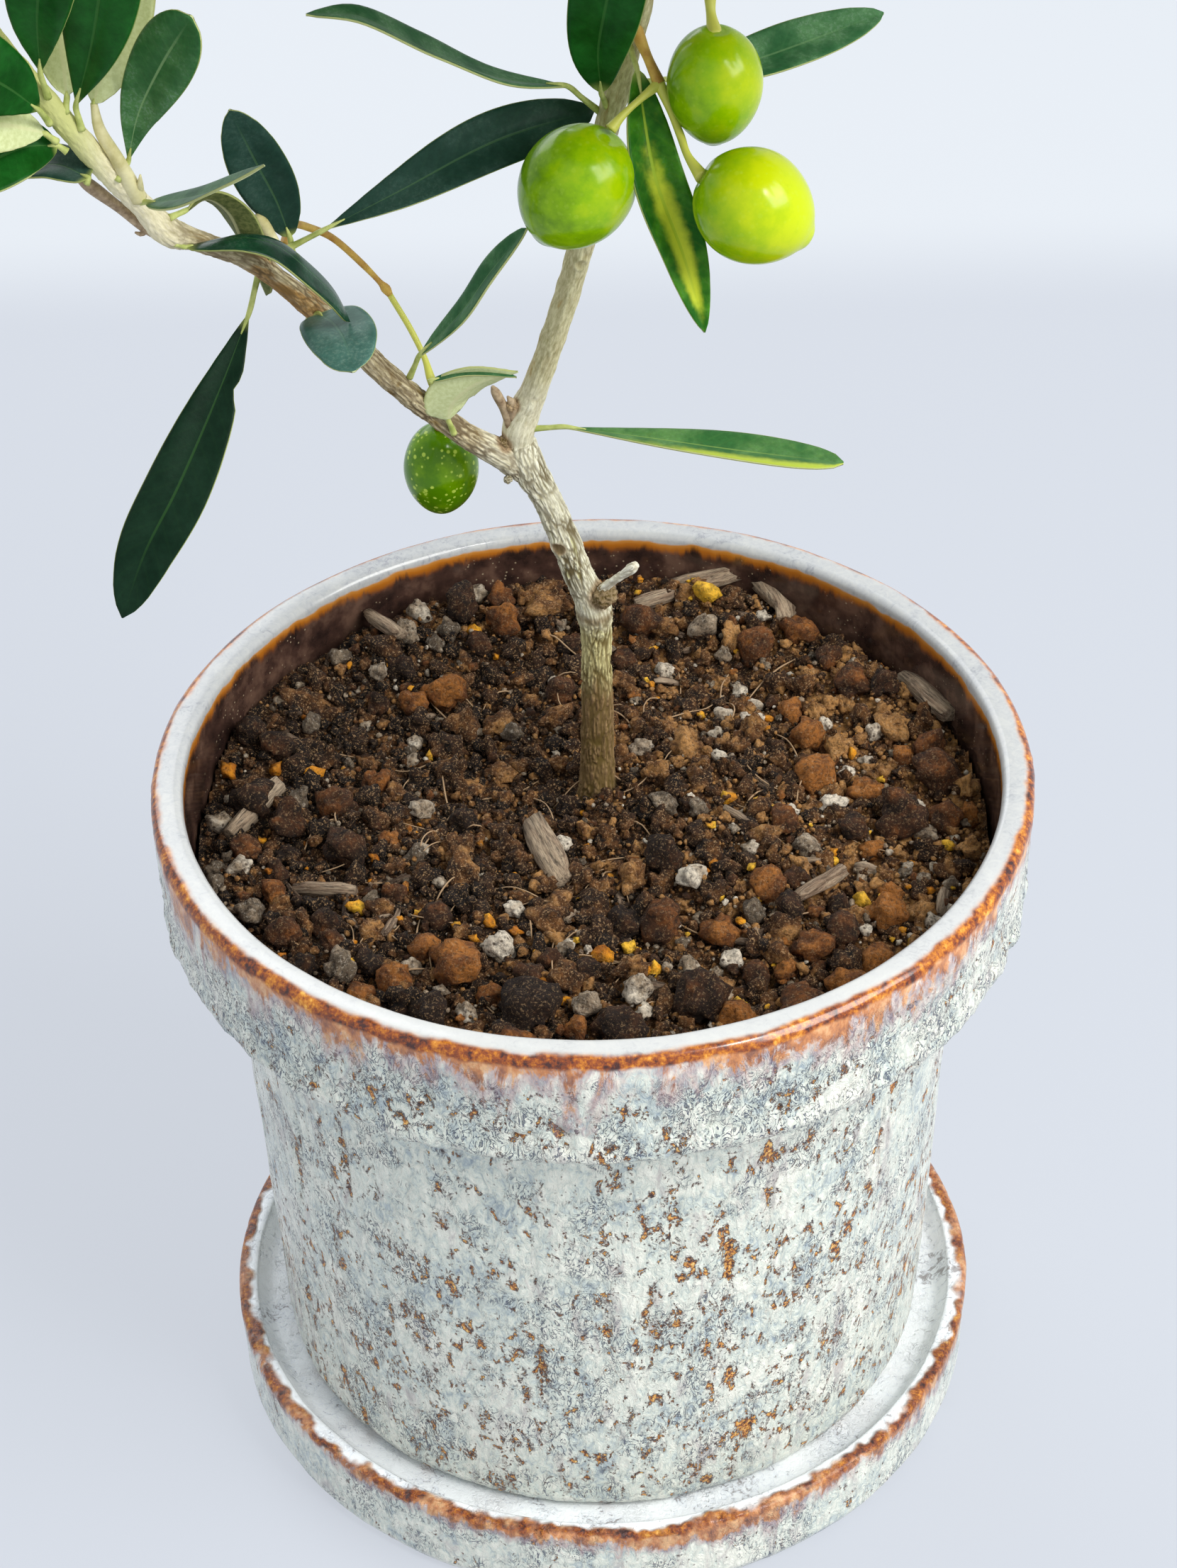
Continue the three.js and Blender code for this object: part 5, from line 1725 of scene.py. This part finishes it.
def leaf_shape(seed):
    """A blade one unit long along X, facing up Z, as arrays with a kind for each face."""
    rng = random.Random(seed)
    width, sag, fold = rng.uniform(0.20, 0.25), rng.uniform(-0.10, 0.16), math.radians(rng.uniform(10, 26))
    twist, shape = rng.uniform(-0.5, 0.5), (rng.uniform(0.75, 0.95), rng.uniform(0.55, 0.75))
    bm = bmesh.new()
    for vert, i, j in sheet(bm, 7, 3):
        v = i / 7
        u = (-1, -0.09, 0.09, 1)[j]
        half = width / 2 * outline(min(0.995, max(0.02, v)), *shape)
        roll_to = Matrix.Rotation(twist * v, 3, "X")
        local = roll_to @ Vector((0, u * half * math.cos(fold), abs(u) * half * math.sin(fold)))
        vert.co = Vector((0.06 + 0.94 * v, 0, -sag * v * v)) + local
    bmesh.ops.recalc_face_normals(bm, faces=bm.faces)
    upper = list(bm.faces)
    if sum(face.normal.z for face in upper) < 0:
        bmesh.ops.reverse_faces(bm, faces=upper)
    ribs = {face for face in upper if abs(face.calc_center_median().y) < 0.012}
    bmesh.ops.solidify(bm, geom=upper, thickness=0.011)
    bm.normal_update()
    top = set(upper)
    kinds = []
    for face in bm.faces:
        rim = face not in top and abs(face.normal.z) < 0.55
        kinds.append("rib" if face in ribs or rim else "top" if face in top else "under")
    return (*arrays(bm), kinds)


shapes = [leaf_shape(900 + k) for k in range(6)]
parts = []
dropped = 0
for k, (base, way, outward, length, spray) in enumerate(grown["leaves"]):
    leaf_rng = random.Random(5000 + k)
    up = Vector((0, 0, 1)) * 0.9 + outward * 0.25 + Vector([leaf_rng.uniform(-0.35, 0.35) for _ in range(3)])
    up = (up - way * up.dot(way)).normalized()
    turn = np.array([way, up.cross(way), up])
    corners, faces, kinds = shapes[leaf_rng.randrange(len(shapes))]
    for shrink in (1.0, 0.8, 0.62):
        placed = corners @ turn * length * shrink + np.array(base)
        if in_box(placed[::5]):
            break
    if not in_box(placed[::5]) or not hidden(placed[::2]):
        dropped += 1
        continue
    tint = (0, 1, 1, 2, 2, 3, 0, 4)[spray % 8] if leaf_rng.random() < 0.85 else leaf_rng.randrange(4)
    slot_of = {"top": tint, "rib": RIB, "under": UNDER + spray % 2}
    parts.append((placed * MM, faces, [slot_of[kind] for kind in kinds]))
crown_mesh = joined("crown_leaves", parts)
piece("crown_leaves", crown_mesh, crown_finishes,
      [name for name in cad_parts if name.startswith("crown_")])
print("kept", len(parts), "grown leaves and dropped", dropped)

# %% Grown shoots and the last stalks
CROWN_OLIVES = 9  # tried, and kept where the crown hides them
for joints in grown["shoots"]:
    stalk(stalk_bm, joints, 6, YELLOW if joints[0][3] < 0.5 else CREAM, 2.5)

fruit_rng = random.Random(77)
for _ in range(CROWN_OLIVES):
    base, _, outward, _, _ = grown["leaves"][fruit_rng.randrange(len(grown["leaves"]))]
    hang = base + outward * 5 + Vector((0, 0, -11))
    corners = [hang + Vector((dx, dy, dz)) for dx in (-8, 8) for dy in (-8, 8) for dz in (-10, 9)]
    if hidden(corners) and in_box([hang]):
        olive(fruit_bm, hang, (0, 0, 1), 13.5, 17.0, fruit_rng.uniform(0.1, 0.9), (32, 20))
        stalk(stalk_bm, [(*base, 0.5), (*(base + outward * 4 + Vector((0, 0, -0.5))), 0.45),
                         (*(hang + Vector((0, 0, 7.8))), 0.7)], 8, YELLOW, 0.8)

piece("stalks", finish_mesh("stalks", stalk_bm), stalk_finishes)
piece("olives", finish_mesh("olives", fruit_bm), [olive_skin()])
